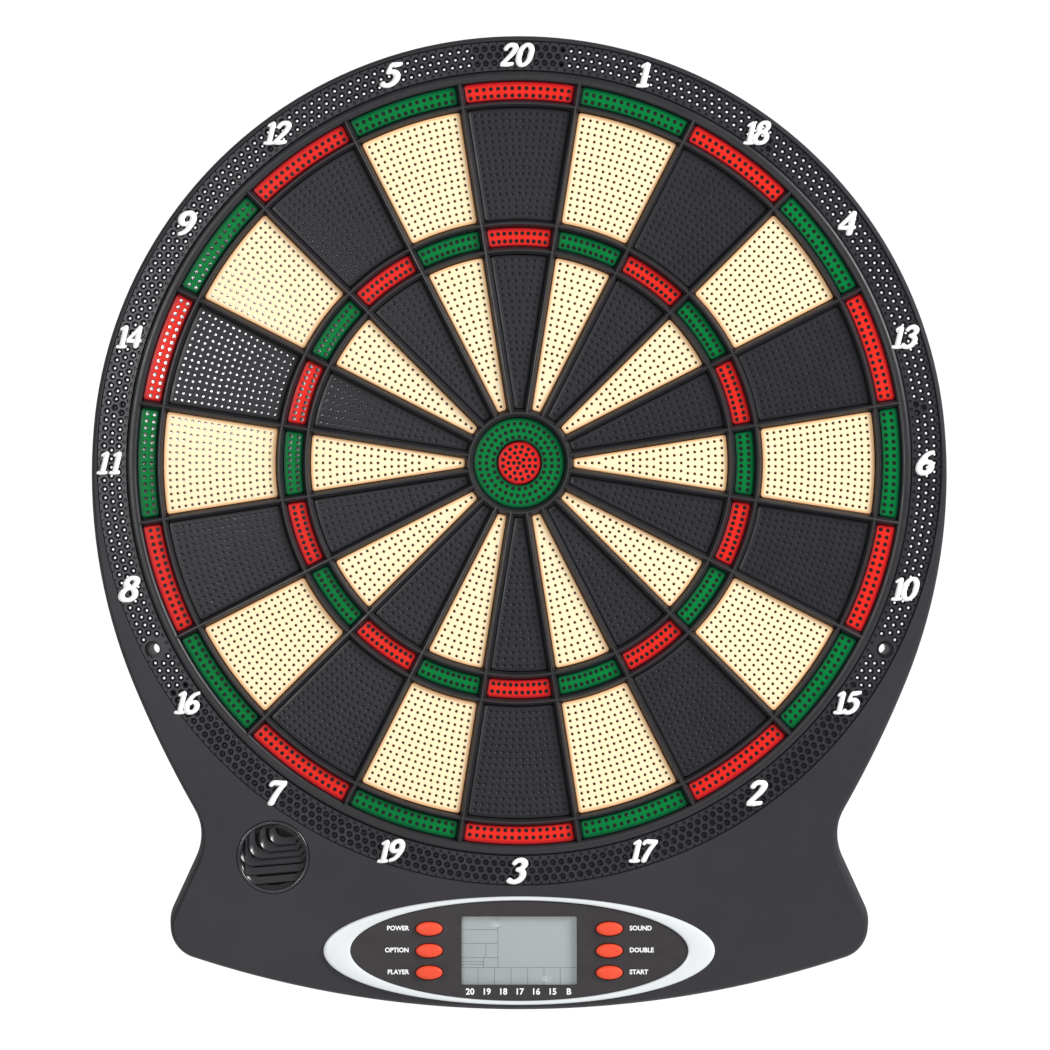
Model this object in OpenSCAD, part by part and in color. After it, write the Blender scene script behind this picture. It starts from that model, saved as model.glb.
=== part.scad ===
// Electronic dartboard: a sprung-segment target in a wall-hung casing with a scoring console.
// Each part is drawn lying on its back with the wall at z = 0, so a height is a distance
// in front of the wall. stand() then turns it upright: +Z up, front towards -Y, and the
// origin on the wall behind the middle of the bull.

/* [Target] */
// Radius of the inner bull
inner_bull_r = 9.5; // [9:0.1:9.5]
// Radius of the outer bull
outer_bull_r = 20.4; // [19:0.1:20.4]
// Inside radius of the inner singles
inner_single_r = 24.5; // [24.5:0.1:26]
// Outside radius of the inner singles
inner_single_end_r = 93.8; // [92:0.1:93.8]
// Inside radius of the triples
triple_r = 97.7; // [97.7:0.1:98]
// Outside radius of the triples
triple_end_r = 106; // [105:0.1:106]
// Inside radius of the outer singles
outer_single_r = 109.6; // [109.6:0.1:110]
// Outside radius of the outer singles
outer_single_end_r = 160; // [158:0.1:160]
// Inside radius of the doubles
double_r = 163.5; // [163.5:0.1:164]
// Outside radius of the doubles
double_end_r = 171.7; // [171:0.1:171.7]
// Distance from a segment's side to the middle line of the spoke beside it
edge_gap = 1.9; // [1.9:0.05:2.2]
// Distance that a struck segment travels
segment_travel = 1.2; // [0.8:0.1:1.2]

/* [Spider] */
// Width of a spider bar
bar_w = 3.2; // [2.6:0.1:3.2]
// Width of the flat ridge along a bar
ridge_w = 0.7; // [0.4:0.1:1.2]
// Outside radius of the spider
spider_r = 176.4; // [176:0.1:176.5]

/* [Catch ring] */
// Inside radius of the perforated face
catch_r = 176.7; // [176.7:0.1:177]
// Outside radius of the perforated face
catch_end_r = 189.8; // [189:0.1:189.8]
// Distance of a wall screw from the middle of the board
wall_screw_r = 184.8; // [184:0.1:185]
// Angle of a wall screw below the horizontal
wall_screw_angle = 27; // [24:1:29]
// Radius of a wall screw hole
wall_hole_r = 2.4; // [2:0.1:2.6]

/* [Casing] */
// Radius of the round top of the casing
casing_r = 195; // [194:0.5:196]
// Wall thickness of the casing's sides
casing_wall = 2.4; // [2:0.1:2.6]
// Thickness of the rear cover
cover_t = 2.6; // [2.4:0.1:2.8]

/* [Console] */
// Height of the console's middle, below the bull
console_z = -219.3; // [-220:0.1:-219]
// Half the width of the silver bezel
bezel_a = 88; // [87:0.5:90]
// Half the height of the silver bezel
bezel_b = 24.4; // [24.2:0.1:24.6]
// Width of the display window
window_w = 51.8; // [48:0.2:52]
// Height of the display window
window_h = 30.7; // [28:0.1:31]
// Distance of a button from the console's middle line
button_x = 40.5; // [40:0.5:41]
// Spacing of the buttons in a column
button_pitch = 9.85; // [9.5:0.05:10]
// Distance that a button travels
button_travel = 1; // [0.6:0.1:1]

/* [Hidden] */
$fn = 96;
fit = 0.3;

// Numbers clockwise from the top
NUMBERS = [20, 1, 18, 4, 13, 6, 10, 15, 2, 17, 3, 19, 7, 16, 8, 11, 14, 9, 12, 5];
PITCH = 360 / len(NUMBERS);

// Heights in front of the wall
rib_h = 16.35;
film_h = 18.85;
film_t = 0.2;
cushion_h = 19.4;
cushion_t = 1.5;
segment_back_h = 22.4;
flange_h = 24.3;
spider_back_h = 24.6;
segment_h = 29;
bar_shoulder_h = 29.8;
bar_h = 31.3;
ring_shoulder_h = 29.65;
ring_h = 31.1;
catch_back_h = 26.2;
catch_h = 29.2;
face_back_h = 27.6;
face_h = 30;
panel_back_h = 28.4;
panel_h = 30.4;
bezel_h = 31.5;
board_back_h = 20.8;
board_h = 22.4;
lcd_back_h = 25.4;
lcd_h = 28.2;
box_h = 18.5;

// Segments
flange_gap = 0.8;
flange_step = edge_gap - flange_gap;
bull_gap = 0.6;
bull_step = 1.6;
bull_lip_h = 26;

// Catch ring and rear cover
tub_wall = 2;
open_angle = 33;
closing_wall_start = 179.1;
spider_ledge_r = 173.4;
ear_r = 182.6;
ear_angles = [8, 52, 128, 172, 232, 308];
open_ear_angles = [8, 52, 128, 172];
boss_half_angle = 6.5;
keyhole_z = 183;
keyhole_r = 4;
keyhole_slot_r = 2.2;
keyhole_slot_end = 187.2;
post_r = 3.2;
screw_r = 1.3;
screw_head_r = 2.9;
lower_posts = [[141, -207], [102, -226], [122, -152]];

// Spider screws
spider_screw_r = 175;
spider_screws_n = 10;

// Console
bezel_inner_a = 76;
bezel_inner_b = 22.6;
skirt_a = 84;
skirt_b = 23.6;
panel_wall = 2;
button_a = 6;
button_b = 3.05;
board_post = [50, 13.6];
board_size = [107, 35.2];

// Speaker
speaker_at = [-110.8, -177.3];
grille_r = 16.2;
collar_r = 17.8;
speaker_r = 14.5;
magnet_r = 8.5;
clamp_lug = 21.5;

// Battery bay
bay_z = -213;
bay_a = 30.8;
bay_b = 22.3;
bay_wall = 1.2;
cell_r = 7.1;
cell_len = 50.5;
cell_h = 10.05;
cell_pitch = 14.6;
door_t = 2.2;
hinge_r = door_t / 2;
hinge_z = bay_z - bay_b + fit + hinge_r;

// Casing outline: radii of the side arcs from the round top down to the foot
shoulder_r = 250;
side_r = 500;
waist_r = 24.5;
foot_r = 17;
bottom_r = 474;
shoulder_start = 5;
side_start = -22.3;
side_end = -29.6;
bottom_mid = [0, 225.3];
shoulder_mid = (casing_r - shoulder_r) * [cos(shoulder_start), sin(shoulder_start)];
side_mid = shoulder_mid + (shoulder_r - side_r) * [cos(side_start), sin(side_start)];
waist_mid = side_mid + (side_r + waist_r) * [cos(side_end), sin(side_end)];
foot_x = 142.6;
foot_mid = [foot_x, bottom_mid.y - sqrt((bottom_r - foot_r) ^ 2 - foot_x ^ 2)];
foot_end = atan2(foot_mid.y - bottom_mid.y, foot_mid.x);
// The straight run between waist and foot touches both arcs, so its normal follows from their centres
waist_to_foot = waist_mid - foot_mid;
foot_start = atan2(waist_to_foot.y, waist_to_foot.x) - acos((waist_r + foot_r) / norm(waist_to_foot));

static_parts = [
    "front_casing", "catch_ring", "spider", "rear_cover", "backing_plate", "matrix_bottom_film",
    "matrix_spacer", "matrix_top_film", "cushion_sheet", "flat_cables", "console_bezel",
    "console_panel", "lcd_lens", "lcd_module", "zebra_strips", "keypad_mat", "main_board",
    "board_parts", "board_screws", "speaker_grille", "speaker_cone", "speaker_basket",
    "speaker_magnet", "speaker_clamp", "speaker_screws", "speaker_leads", "battery_contacts",
    "batteries", "case_screws", "spider_screws", "battery_door", "outer_bull", "inner_bull"
];
BUTTONS = ["button_power", "button_option", "button_player", "button_sound", "button_double", "button_start"];

// ---------------------------------------------------------------- helpers

module stand() {
    rotate([90, 0, 0]) children();
}

module slab(low, high) {
    translate([0, 0, low]) linear_extrude(high - low) children();
}

module ring(r_out, r_in) {
    difference() {
        circle(r_out);
        circle(r_in);
    }
}

// A pie slice of the plane between two angles less than 180 degrees apart
module slice(from, to, reach = 300) {
    mid = (from + to) / 2;
    polygon([
        [0, 0],
        reach * [cos(from), sin(from)],
        reach * [cos(mid), sin(mid)] * 2,
        reach * [cos(to), sin(to)]
    ]);
}

function oval_points(a, b, n = 96) = [for (i = [0:n - 1]) [a * cos(360 * i / n), b * sin(360 * i / n)]];

module oval(a, b) {
    polygon(oval_points(a, b));
}

module oval_ring(a, b, a_in, b_in) {
    difference() {
        oval(a, b);
        oval(a_in, b_in);
    }
}

module console() {
    translate([0, console_z]) children();
}

function arc(mid, r, from, to, n) =
    [for (i = [0:n]) mid + r * [cos(from + (to - from) * i / n), sin(from + (to - from) * i / n)]];

// Right-hand half of the casing's outline, moved inwards by inset
function half_outline(inset) = concat(
    arc([0, 0], casing_r - inset, 90, shoulder_start, 40),
    arc(shoulder_mid, shoulder_r - inset, shoulder_start, side_start, 12),
    arc(side_mid, side_r - inset, side_start, side_end, 6),
    arc(waist_mid, waist_r + inset, 180 + side_end, 180 + foot_start, 14),
    arc(foot_mid, foot_r - inset, foot_start, foot_end, 16),
    arc(bottom_mid, bottom_r - inset, foot_end, -90, 16)
);

module outline(inset = 0) {
    right = half_outline(inset);
    last = len(right) - 1;
    polygon(concat(right, [for (i = [last - 1:-1:1]) [-right[i].x, right[i].y]]));
}

// The part of the casing below the open channel behind the catch ring
module lower_region(inset) {
    intersection() {
        outline(inset);
        union() {
            slice(-90, -open_angle);
            slice(-180 + open_angle, -90);
        }
    }
}

module at_ears(angles, r = ear_r) {
    for (a = angles) {
        rotate(a) translate([r, 0]) children();
    }
}

module at_lower_posts() {
    for (p = lower_posts) {
        for (side = [-1, 1]) {
            if (norm([side * p.x, p.y] - speaker_at) > 40) {
                translate([side * p.x, p.y]) children();
            }
        }
    }
}

module at_case_screws() {
    at_ears(ear_angles) children();
    at_lower_posts() children();
}

module at_wall_screws() {
    for (a = [-wall_screw_angle, 180 + wall_screw_angle]) {
        rotate(a) translate([wall_screw_r, 0]) children();
    }
}

// ---------------------------------------------------------------- casing

module front_casing() {
    color("#3e3c42") stand() difference() {
        union() {
            slab(0, face_back_h + 0.2) difference() {
                outline();
                outline(casing_wall);
            }
            // The front edge is rounded over in four steps
            slab(face_back_h, face_h - 1.6) face_plate(0.15);
            slab(face_h - 1.6, face_h - 0.9) face_plate(0.5);
            slab(face_h - 0.9, face_h - 0.4) face_plate(1.1);
            slab(face_h - 0.4, face_h) face_plate(1.9);
            // Ledge that the catch ring's outer edge sits on
            slab(catch_back_h - 2, catch_back_h) ring(casing_r - 2, 188.2);
            slab(catch_back_h - 0.1, face_back_h + 0.1) ring(casing_r - 2, catch_end_r + 0.2);
            slab(cover_t, face_back_h + 0.1) at_lower_posts() circle(post_r);
            slab(20, face_back_h + 0.1) translate(speaker_at) {
                circle(collar_r + 1.4);
                at_clamp_screws() circle(2.8);
            }
        }
        slab(19, face_back_h) translate(speaker_at) circle(collar_r);
        slab(face_back_h - 1, face_h + 1) console() oval(skirt_a + 0.2, skirt_b + 0.2);
        slab(face_back_h - 1, face_h + 1) translate(speaker_at) circle(grille_r + 0.1);
        slab(cover_t - 1, 15) at_lower_posts() circle(screw_r + 0.05);
        slab(19, 26) translate(speaker_at) at_clamp_screws() circle(1.05);
        // Notch where the leads leave the speaker's collar
        slab(19, 22.4) translate(speaker_at + [speaker_r - 0.8, -22]) square([4, 22]);
        // The wall screw bosses stand through the ledge
        slab(20, catch_back_h + 0.2) at_wall_screws() circle(5.2);
    }
}

module face_plate(inset) {
    difference() {
        outline(inset);
        circle(catch_end_r + 0.2);
    }
}

module catch_ring() {
    color("#232228") stand() difference() {
        union() {
            slab(catch_back_h, catch_h) ring(catch_end_r, catch_r);
            slab(segment_back_h, catch_back_h + 0.1) ring(catch_r + tub_wall, catch_r);
            // Flange under the spider's outer band
            slab(segment_back_h, spider_back_h) ring(catch_r + tub_wall, spider_ledge_r);
            // Tub wall, only where the channel behind is open
            slab(cover_t, segment_back_h) difference() {
                ring(catch_r + tub_wall, catch_r);
                slice(-90, -open_angle);
                slice(-180 + open_angle, -90);
            }
            slab(cover_t, catch_back_h + 0.1) at_ears(ear_angles) circle(post_r);
            slab(0, catch_back_h + 0.1) at_wall_screws() circle(4.9);
        }
        slab(-1, 30) at_wall_screws() circle(wall_hole_r);
        slab(24.4, 30) at_wall_screws() circle(3.9);
        slab(cover_t - 1, 15) at_ears(ear_angles) circle(screw_r + 0.05);
        slab(20, 25) at_ears([for (i = [0:spider_screws_n - 1]) (i + 0.25) * 36], spider_screw_r) circle(0.85);
    }
}

module rear_cover() {
    color("#2e2d31") stand() difference() {
        union() {
            slab(0, cover_t) {
                circle(catch_r + tub_wall);
                lower_region(casing_wall + 0.2);
                hanger_boss();
                at_ears(open_ear_angles) circle(3.6);
                at_ears(open_ear_angles, ear_r - 3) square([6, 7.2], center = true);
            }
            // Walls of the hanger boss
            slab(cover_t, 22) difference() {
                hanger_boss();
                intersection() {
                    ring(casing_r - casing_wall - 1.6, 0);
                    slice(91 - boss_half_angle, 89 + boss_half_angle);
                }
                circle(catch_r + tub_wall + 0.2);
            }
            // Walls that close the lower space off from the open channel
            for (a = [-open_angle - 0.6, 180 + open_angle + 0.6]) {
                slab(cover_t, 24) rotate(a) translate([closing_wall_start, -0.8]) square([21.4, 1.6]);
            }
            // Ribs under the backing plate
            slab(cover_t, rib_h) for (r = [60, 115, 168]) {
                ring(r + 0.8, r - 0.8);
            }
            slab(cover_t, rib_h) for (a = [0:45:315]) {
                rotate(a + PITCH / 2) translate([60, -0.8]) square([108, 1.6]);
            }
            slab(0, box_h) translate([0, bay_z]) square(2 * [bay_a + bay_wall, bay_b + bay_wall], center = true);
        }
        slab(-1, box_h - 1) translate([0, bay_z]) square(2 * [bay_a, bay_b], center = true);
        // Keyhole for hanging on a screw head
        slab(-1, cover_t + 1) {
            translate([0, keyhole_z]) circle(keyhole_r);
            translate([0, keyhole_slot_end]) circle(keyhole_slot_r);
            translate([0, (keyhole_z + keyhole_slot_end) / 2])
                square([2 * keyhole_slot_r, keyhole_slot_end - keyhole_z], center = true);
        }
        slab(-1, cover_t + 1) at_case_screws() circle(1.6);
        slab(-1, 1.3) at_case_screws() circle(screw_head_r + 0.2);
        // Holes for the pins of the battery door
        for (side = [-1, 1]) {
            translate([side * 31.6, hinge_z, hinge_r]) rotate([0, 90, 0]) cylinder(r = 0.78, h = 2, center = true);
        }
        // Thumb notch above the battery door
        slab(-1, 1) translate([0, bay_z + bay_b]) circle(6);
    }
}

module hanger_boss() {
    difference() {
        intersection() {
            circle(casing_r - casing_wall - 0.2);
            slice(90 - boss_half_angle, 90 + boss_half_angle);
        }
        circle(catch_r);
    }
}

// ---------------------------------------------------------------- target

module bar_ring(r_in, r_out) {
    mid = (r_in + r_out) / 2;
    rotate_extrude() polygon([
        [r_in, spider_back_h], [r_out, spider_back_h], [r_out, ring_shoulder_h],
        [mid + ridge_w / 2, ring_h], [mid - ridge_w / 2, ring_h], [r_in, ring_shoulder_h]
    ]);
}

module spoke() {
    translate([outer_bull_r + 1.5, 0, 0]) rotate([90, 0, 90]) linear_extrude(spider_r - outer_bull_r - 3) polygon([
        [-bar_w / 2, spider_back_h], [bar_w / 2, spider_back_h], [bar_w / 2, bar_shoulder_h],
        [ridge_w / 2, bar_h], [-ridge_w / 2, bar_h], [-bar_w / 2, bar_shoulder_h]
    ]);
}

module spider() {
    color("#26252b") stand() difference() {
        union() {
            bar_ring(outer_bull_r + fit, inner_single_r - fit);
            bar_ring(inner_single_end_r + fit, triple_r - fit);
            bar_ring(triple_end_r + fit, outer_single_r - fit);
            bar_ring(outer_single_end_r + fit, double_r - fit);
            bar_ring(double_end_r + fit, spider_r);
            for (i = [0:len(NUMBERS) - 1]) {
                rotate((i + 0.5) * PITCH) spoke();
            }
        }
        slab(24, 29) at_ears([for (i = [0:spider_screws_n - 1]) (i + 0.25) * 36], spider_screw_r) circle(0.85);
    }
}

// Outline of a segment that points along +X, with its sides parallel to the spokes beside it
module segment_outline(r_in, r_out, gap) {
    apex = gap / sin(PITCH / 2);
    intersection() {
        ring(r_out, r_in);
        translate([apex, 0]) slice(-PITCH / 2, PITCH / 2);
    }
}

module segment(r_in, r_out) {
    slab(segment_back_h, segment_h) segment_outline(r_in, r_out, edge_gap);
    slab(segment_back_h, flange_h) segment_outline(r_in - flange_step, r_out + flange_step, flange_gap);
}

// The double, outer single, triple and inner single of one number
module number_segments(i) {
    light = i % 2 == 1;
    stand() rotate(90 - i * PITCH) {
        color(light ? "#00924a" : "#ed201c") segment(double_r, double_end_r);
        color(light ? "#fdf3d5" : "#26242a") segment(outer_single_r, outer_single_end_r);
        color(light ? "#00924a" : "#ed201c") segment(triple_r, triple_end_r);
        color(light ? "#fdf3d5" : "#26242a") segment(inner_single_r, inner_single_end_r);
    }
}

module outer_bull() {
    color("#00924a") stand() difference() {
        union() {
            slab(segment_back_h, segment_h) circle(outer_bull_r);
            slab(segment_back_h, flange_h) circle(outer_bull_r + 1);
        }
        slab(segment_back_h - 1, segment_h + 1) circle(inner_bull_r + bull_gap);
        slab(segment_back_h - 1, bull_lip_h) circle(inner_bull_r + bull_step + fit);
    }
}

module inner_bull() {
    color("#ed201c") stand() {
        slab(segment_back_h, segment_h) circle(inner_bull_r);
        slab(segment_back_h, bull_lip_h - segment_travel - 0.4) circle(inner_bull_r + bull_step);
    }
}

module cushion_sheet() {
    color("#6b6b6f") stand() slab(cushion_h, cushion_h + cushion_t) circle(173);
}

module matrix_film(low, high) {
    stand() slab(low, high) circle(172.5);
}

module backing_plate() {
    color("#4a4a4c") stand() slab(rib_h, film_h) circle(172.9);
}

module flat_cables() {
    color("#d8cfa8") stand() for (side = [-1, 1]) {
        slab(film_h, film_h + film_t) difference() {
            translate([side * 29 - 10, -207]) square([20, 45]);
            circle(172.5);
        }
    }
}

module spider_screws() {
    color("#a8a8ac") stand() at_ears([for (i = [0:spider_screws_n - 1]) (i + 0.25) * 36], spider_screw_r) {
        slab(segment_back_h - 1, segment_back_h) circle(1.5);
        slab(segment_back_h, 28.5) circle(0.8);
    }
}

module case_screws() {
    color("#8f8f93") stand() at_case_screws() {
        slab(0.2, 1.3) circle(screw_head_r);
        slab(1.3, 14) circle(screw_r);
    }
}

// ---------------------------------------------------------------- console

module console_bezel() {
    color("#e8ecf1") stand() console() {
        slab(face_h, bezel_h) oval_ring(bezel_a, bezel_b, bezel_inner_a, bezel_inner_b);
        slab(face_back_h, face_h) oval_ring(skirt_a, skirt_b, bezel_inner_a, bezel_inner_b);
    }
}

module console_panel() {
    a = bezel_inner_a - 0.2;
    b = bezel_inner_b - 0.2;
    color("#3a3638") stand() console() difference() {
        union() {
            slab(panel_back_h, panel_h) oval(a, b);
            slab(face_back_h - 1.5, panel_back_h) oval_ring(a, b, a - panel_wall, b - panel_wall);
            slab(face_back_h - 1.5, face_back_h) oval_ring(87, 26.2, a - panel_wall, b - panel_wall);
            slab(board_h, panel_back_h) at_board_posts() circle(2.4);
        }
        slab(panel_back_h - 1, panel_h + 1) {
            square([window_w + 0.2, window_h + 0.2], center = true);
            for (side = [-1, 1]) {
                for (row = [-1, 0, 1]) {
                    translate([side * button_x, row * button_pitch]) oval(button_a + fit, button_b + fit);
                }
            }
        }
        slab(board_h - 1, 27.2) at_board_posts() circle(1.05);
    }
}

module at_board_posts() {
    for (x = [-1, 1]) {
        for (y = [-1, 1]) {
            translate([x * board_post.x, y * board_post.y]) children();
        }
    }
}

module lcd_lens() {
    color("#b9c2c4", 0.6) stand() console() slab(lcd_h, panel_h - 0.3) square([window_w, window_h], center = true);
}

module lcd_module() {
    color("#a5acac") stand() console() slab(lcd_back_h, lcd_h) square([56, 34], center = true);
}

module zebra_strips() {
    color("#d98a9a") stand() console() for (side = [-1, 1]) {
        slab(board_h, lcd_back_h) translate([0, side * 15.2]) square([50, 2.4], center = true);
    }
}

module keypad_mat() {
    color("#8a8d90") stand() console() for (side = [-1, 1]) {
        translate([side * button_x, 0, 0]) {
            slab(board_h, board_h + 0.8) square([13.6, 29], center = true);
            for (row = [-1, 0, 1]) {
                translate([0, row * button_pitch, board_h + 0.8]) cylinder(r1 = 2.8, r2 = 1.8, h = 0.5);
            }
        }
    }
}

module button(side, row) {
    color("#fa5032") stand() console() translate([side * button_x, row * button_pitch, 0]) {
        slab(26.9, 32) oval(button_a, button_b);
        slab(26.9, panel_back_h - fit) oval(button_a + 1.4, button_b + 1.2);
        slab(25, 26.9) circle(1.6);
    }
}

module main_board() {
    color("#2f6b3d") stand() console() difference() {
        slab(board_back_h, board_h) square(board_size, center = true);
        slab(board_back_h - 1, board_h + 1) at_board_posts() circle(1.1);
    }
}

module board_parts() {
    color("#1c1c1e") stand() console() {
        // Flat cable sockets
        for (side = [-1, 1]) {
            slab(film_h + film_t, board_back_h) translate([side * 29, 13.8]) square([23, 4], center = true);
        }
        // Chip under its blob of resin, capacitors and a crystal
        slab(19.4, board_back_h) circle(6);
        for (x = [-22, 22]) {
            slab(19.2, board_back_h) translate([x, -8]) square([5, 3], center = true);
        }
        slab(18.9, board_back_h) translate([12, 4]) square([3, 8], center = true);
    }
}

module board_screws() {
    color("#a8a8ac") stand() console() at_board_posts() {
        slab(board_back_h - 1.2, board_back_h) circle(2.2);
        slab(board_back_h, 27) circle(1);
    }
}

// ---------------------------------------------------------------- speaker

module speaker_grille() {
    color("#37363b") stand() translate(speaker_at) difference() {
        union() {
            slab(26.4, face_h) circle(grille_r);
            slab(26.4, face_back_h) circle(grille_r + 1.4);
        }
        slab(25, face_h - 2.2) circle(grille_r - 1.2);
        // Curved louvres that sweep round a point below the grille
        slab(25, face_h + 1) intersection() {
            circle(grille_r - 1.4);
            translate([13, 21]) for (r = [13, 18, 23, 28, 33]) {
                ring(r + 1.1, r - 1.1);
            }
        }
    }
}

module speaker_cone() {
    color("#1d1d20") stand() translate(speaker_at) {
        slab(24.2, 25.2) ring(speaker_r - 0.8, 4);
        translate([0, 0, 24.2]) cylinder(r1 = 4, r2 = 2.5, h = 1.4);
    }
}

module speaker_basket() {
    color("#9a9a9d") stand() translate(speaker_at) {
        slab(25.2, 26.4) ring(speaker_r + 1.5, speaker_r - 1.5);
        slab(22, 25.2) ring(speaker_r, speaker_r - 0.8);
        slab(20, 22) ring(speaker_r, 3);
        // Terminal strip that the leads are soldered to
        slab(20, 20.7) translate([speaker_r - 1, -5]) square([3.6, 6]);
    }
}

module speaker_magnet() {
    color("#5a5a5e") stand() translate(speaker_at) slab(13, 20) circle(magnet_r);
}

module speaker_clamp() {
    color("#2e2d31") stand() translate(speaker_at) difference() {
        slab(18.6, 20) {
            circle(19.2);
            square([2 * clamp_lug, 6], center = true);
            at_clamp_screws() circle(3);
        }
        slab(18, 21) circle(magnet_r + 0.4);
        slab(18, 21) at_clamp_screws() circle(1.2);
    }
}

module at_clamp_screws() {
    for (side = [-1, 1]) {
        translate([side * clamp_lug, 0]) children();
    }
}

module speaker_screws() {
    color("#a8a8ac") stand() translate(speaker_at) at_clamp_screws() {
        slab(17.6, 18.6) circle(2.2);
        slab(18.6, 25) circle(1);
    }
}

module speaker_leads() {
    lead_r = 0.5;
    lead_h = 20.7 + lead_r;
    board_edge = -board_size.x / 2;
    color("#b52a2a") stand() for (step = [0, 1]) {
        x = speaker_at.x + speaker_r + 0.6 + 1.3 * step;
        y = console_z + 4 + 2 * step;
        translate([x, y, lead_h]) {
            rotate([0, 90, 0]) cylinder(r = lead_r, h = board_edge - x);
            rotate([-90, 0, 0]) cylinder(r = lead_r, h = speaker_at.y - y);
            sphere(lead_r);
        }
    }
}

// ---------------------------------------------------------------- battery bay

module batteries() {
    color("#3c6ea8") stand() for (i = [-1, 0, 1]) {
        translate([0, bay_z + i * cell_pitch, cell_h]) rotate([0, i == 0 ? -90 : 90, 0]) {
            translate([0, 0, -cell_len / 2]) cylinder(r = cell_r, h = cell_len - 1);
            translate([0, 0, cell_len / 2 - 1]) cylinder(r = 2.7, h = 1);
        }
    }
}

module battery_contacts() {
    plate = 0.5;
    color("#c9c9cc") stand() for (side = [-1, 1]) {
        for (i = [-1, 0, 1]) {
            translate([side * (bay_a - plate / 2), bay_z + i * cell_pitch, cell_h]) {
                cube([plate, 11, 10], center = true);
                rotate([0, -90 * side, 0]) cylinder(r1 = 3.4, r2 = 2, h = bay_a - cell_len / 2 - plate / 2);
            }
        }
    }
}

module battery_door() {
    half_w = bay_a - fit;
    top_z = bay_z + bay_b - fit;
    color("#2e2d31") stand() {
        difference() {
            slab(0, door_t) translate([-half_w, hinge_z]) square([2 * half_w, top_z - hinge_z]);
            // Thumb recess
            slab(-1, 0.8) translate([0, top_z]) circle(6);
        }
        translate([0, hinge_z, hinge_r]) rotate([0, 90, 0]) {
            cylinder(r = hinge_r, h = 2 * half_w, center = true);
            cylinder(r = 0.7, h = 2 * (half_w + 1.6), center = true);
        }
    }
}

// ---------------------------------------------------------------- assembly

front_casing();
catch_ring();
spider();
rear_cover();
backing_plate();
union() {  // matrix_bottom_film
    color("#c8c8b8") matrix_film(film_h, film_h + film_t);
}
union() {  // matrix_spacer
    color("#f0f0f0") matrix_film(film_h + film_t, cushion_h - film_t);
}
union() {  // matrix_top_film
    color("#c8c8b8") matrix_film(cushion_h - film_t, cushion_h);
}
cushion_sheet();
flat_cables();
console_bezel();
console_panel();
lcd_lens();
lcd_module();
zebra_strips();
keypad_mat();
main_board();
board_parts();
board_screws();
speaker_grille();
speaker_cone();
speaker_basket();
speaker_magnet();
speaker_clamp();
speaker_screws();
speaker_leads();
battery_contacts();
batteries();
case_screws();
spider_screws();
battery_door();
outer_bull();
inner_bull();
for (i = [0:len(BUTTONS) - 1]) {
    button(i < 3 ? -1 : 1, 1 - i % 3);
}
for (i = [0:len(NUMBERS) - 1]) {
    number_segments(i);
}
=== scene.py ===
# %% [markdown]
# # Electronic dartboard
# This lesson dresses a finished CAD frame of a soft-tip dartboard. Every part is modelled lying on
# its back in millimetres, with the wall at z = 0, because rings, holes and bars are easiest to
# draw flat. One matrix then stands the part up and turns millimetres into metres.

# %% Load the frame
import math
import bmesh
import bpy
from mathutils import Matrix, Vector


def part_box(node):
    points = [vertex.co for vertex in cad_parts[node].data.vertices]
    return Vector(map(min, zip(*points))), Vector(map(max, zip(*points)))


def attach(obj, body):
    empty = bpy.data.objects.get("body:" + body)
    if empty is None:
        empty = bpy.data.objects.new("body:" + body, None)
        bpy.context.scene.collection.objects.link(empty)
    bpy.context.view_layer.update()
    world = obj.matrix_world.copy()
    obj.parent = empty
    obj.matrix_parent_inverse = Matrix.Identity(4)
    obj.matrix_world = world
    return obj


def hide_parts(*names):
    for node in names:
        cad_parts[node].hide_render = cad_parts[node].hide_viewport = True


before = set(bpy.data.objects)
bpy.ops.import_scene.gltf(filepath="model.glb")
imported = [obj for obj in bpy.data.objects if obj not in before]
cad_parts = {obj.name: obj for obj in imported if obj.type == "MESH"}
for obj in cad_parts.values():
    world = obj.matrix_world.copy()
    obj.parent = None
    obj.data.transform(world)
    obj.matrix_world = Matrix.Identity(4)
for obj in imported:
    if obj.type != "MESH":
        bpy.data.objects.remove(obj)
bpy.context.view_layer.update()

# %% [markdown]
# ## Places taken from the frame
# Heights are distances in front of the wall. The CAD boxes give them, so the looks follow the
# design if it changes. Radii are repeated from the design in the same millimetres.

# %% Heights and radii
MM = 1000.0


def front_of(node):
    """How far a CAD node stands in front of the wall, in millimetres."""
    return -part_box(node)[0].y * MM


def back_of(node):
    """Distance of a CAD node's rear from the wall, in millimetres."""
    return -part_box(node)[1].y * MM


FACE_H = front_of("front_casing")
CATCH_H = front_of("catch_ring")
SEGMENT_H = front_of("number_20")
SEGMENT_BACK_H = back_of("number_20")
BAR_H = front_of("spider")
BAR_BACK_H = back_of("spider")
PANEL_H = front_of("console_panel")
BEZEL_H = front_of("console_bezel")
LCD_H = front_of("lcd_module")
LENS_H = front_of("lcd_lens")
COVER_T = 2.6

NUMBERS = [20, 1, 18, 4, 13, 6, 10, 15, 2, 17, 3, 19, 7, 16, 8, 11, 14, 9, 12, 5]
PITCH = 2 * math.pi / len(NUMBERS)
EDGE_GAP = 1.9
INNER_BULL_R, OUTER_BULL_R = 9.5, 20.4
INNER_SINGLE = (24.5, 93.8)
TRIPLE = (97.7, 106.0)
OUTER_SINGLE = (109.6, 160.0)
DOUBLE = (163.5, 171.7)
SPIDER_R = 176.4
CATCH = (176.7, 189.8)
CASING_R = 195.0
console_low, console_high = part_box("console_bezel")
CONSOLE_Z = (console_low.z + console_high.z) / 2 * MM
print(f"segments stand {SEGMENT_H:.1f} mm from the wall, bars {BAR_H:.1f} mm")

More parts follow.
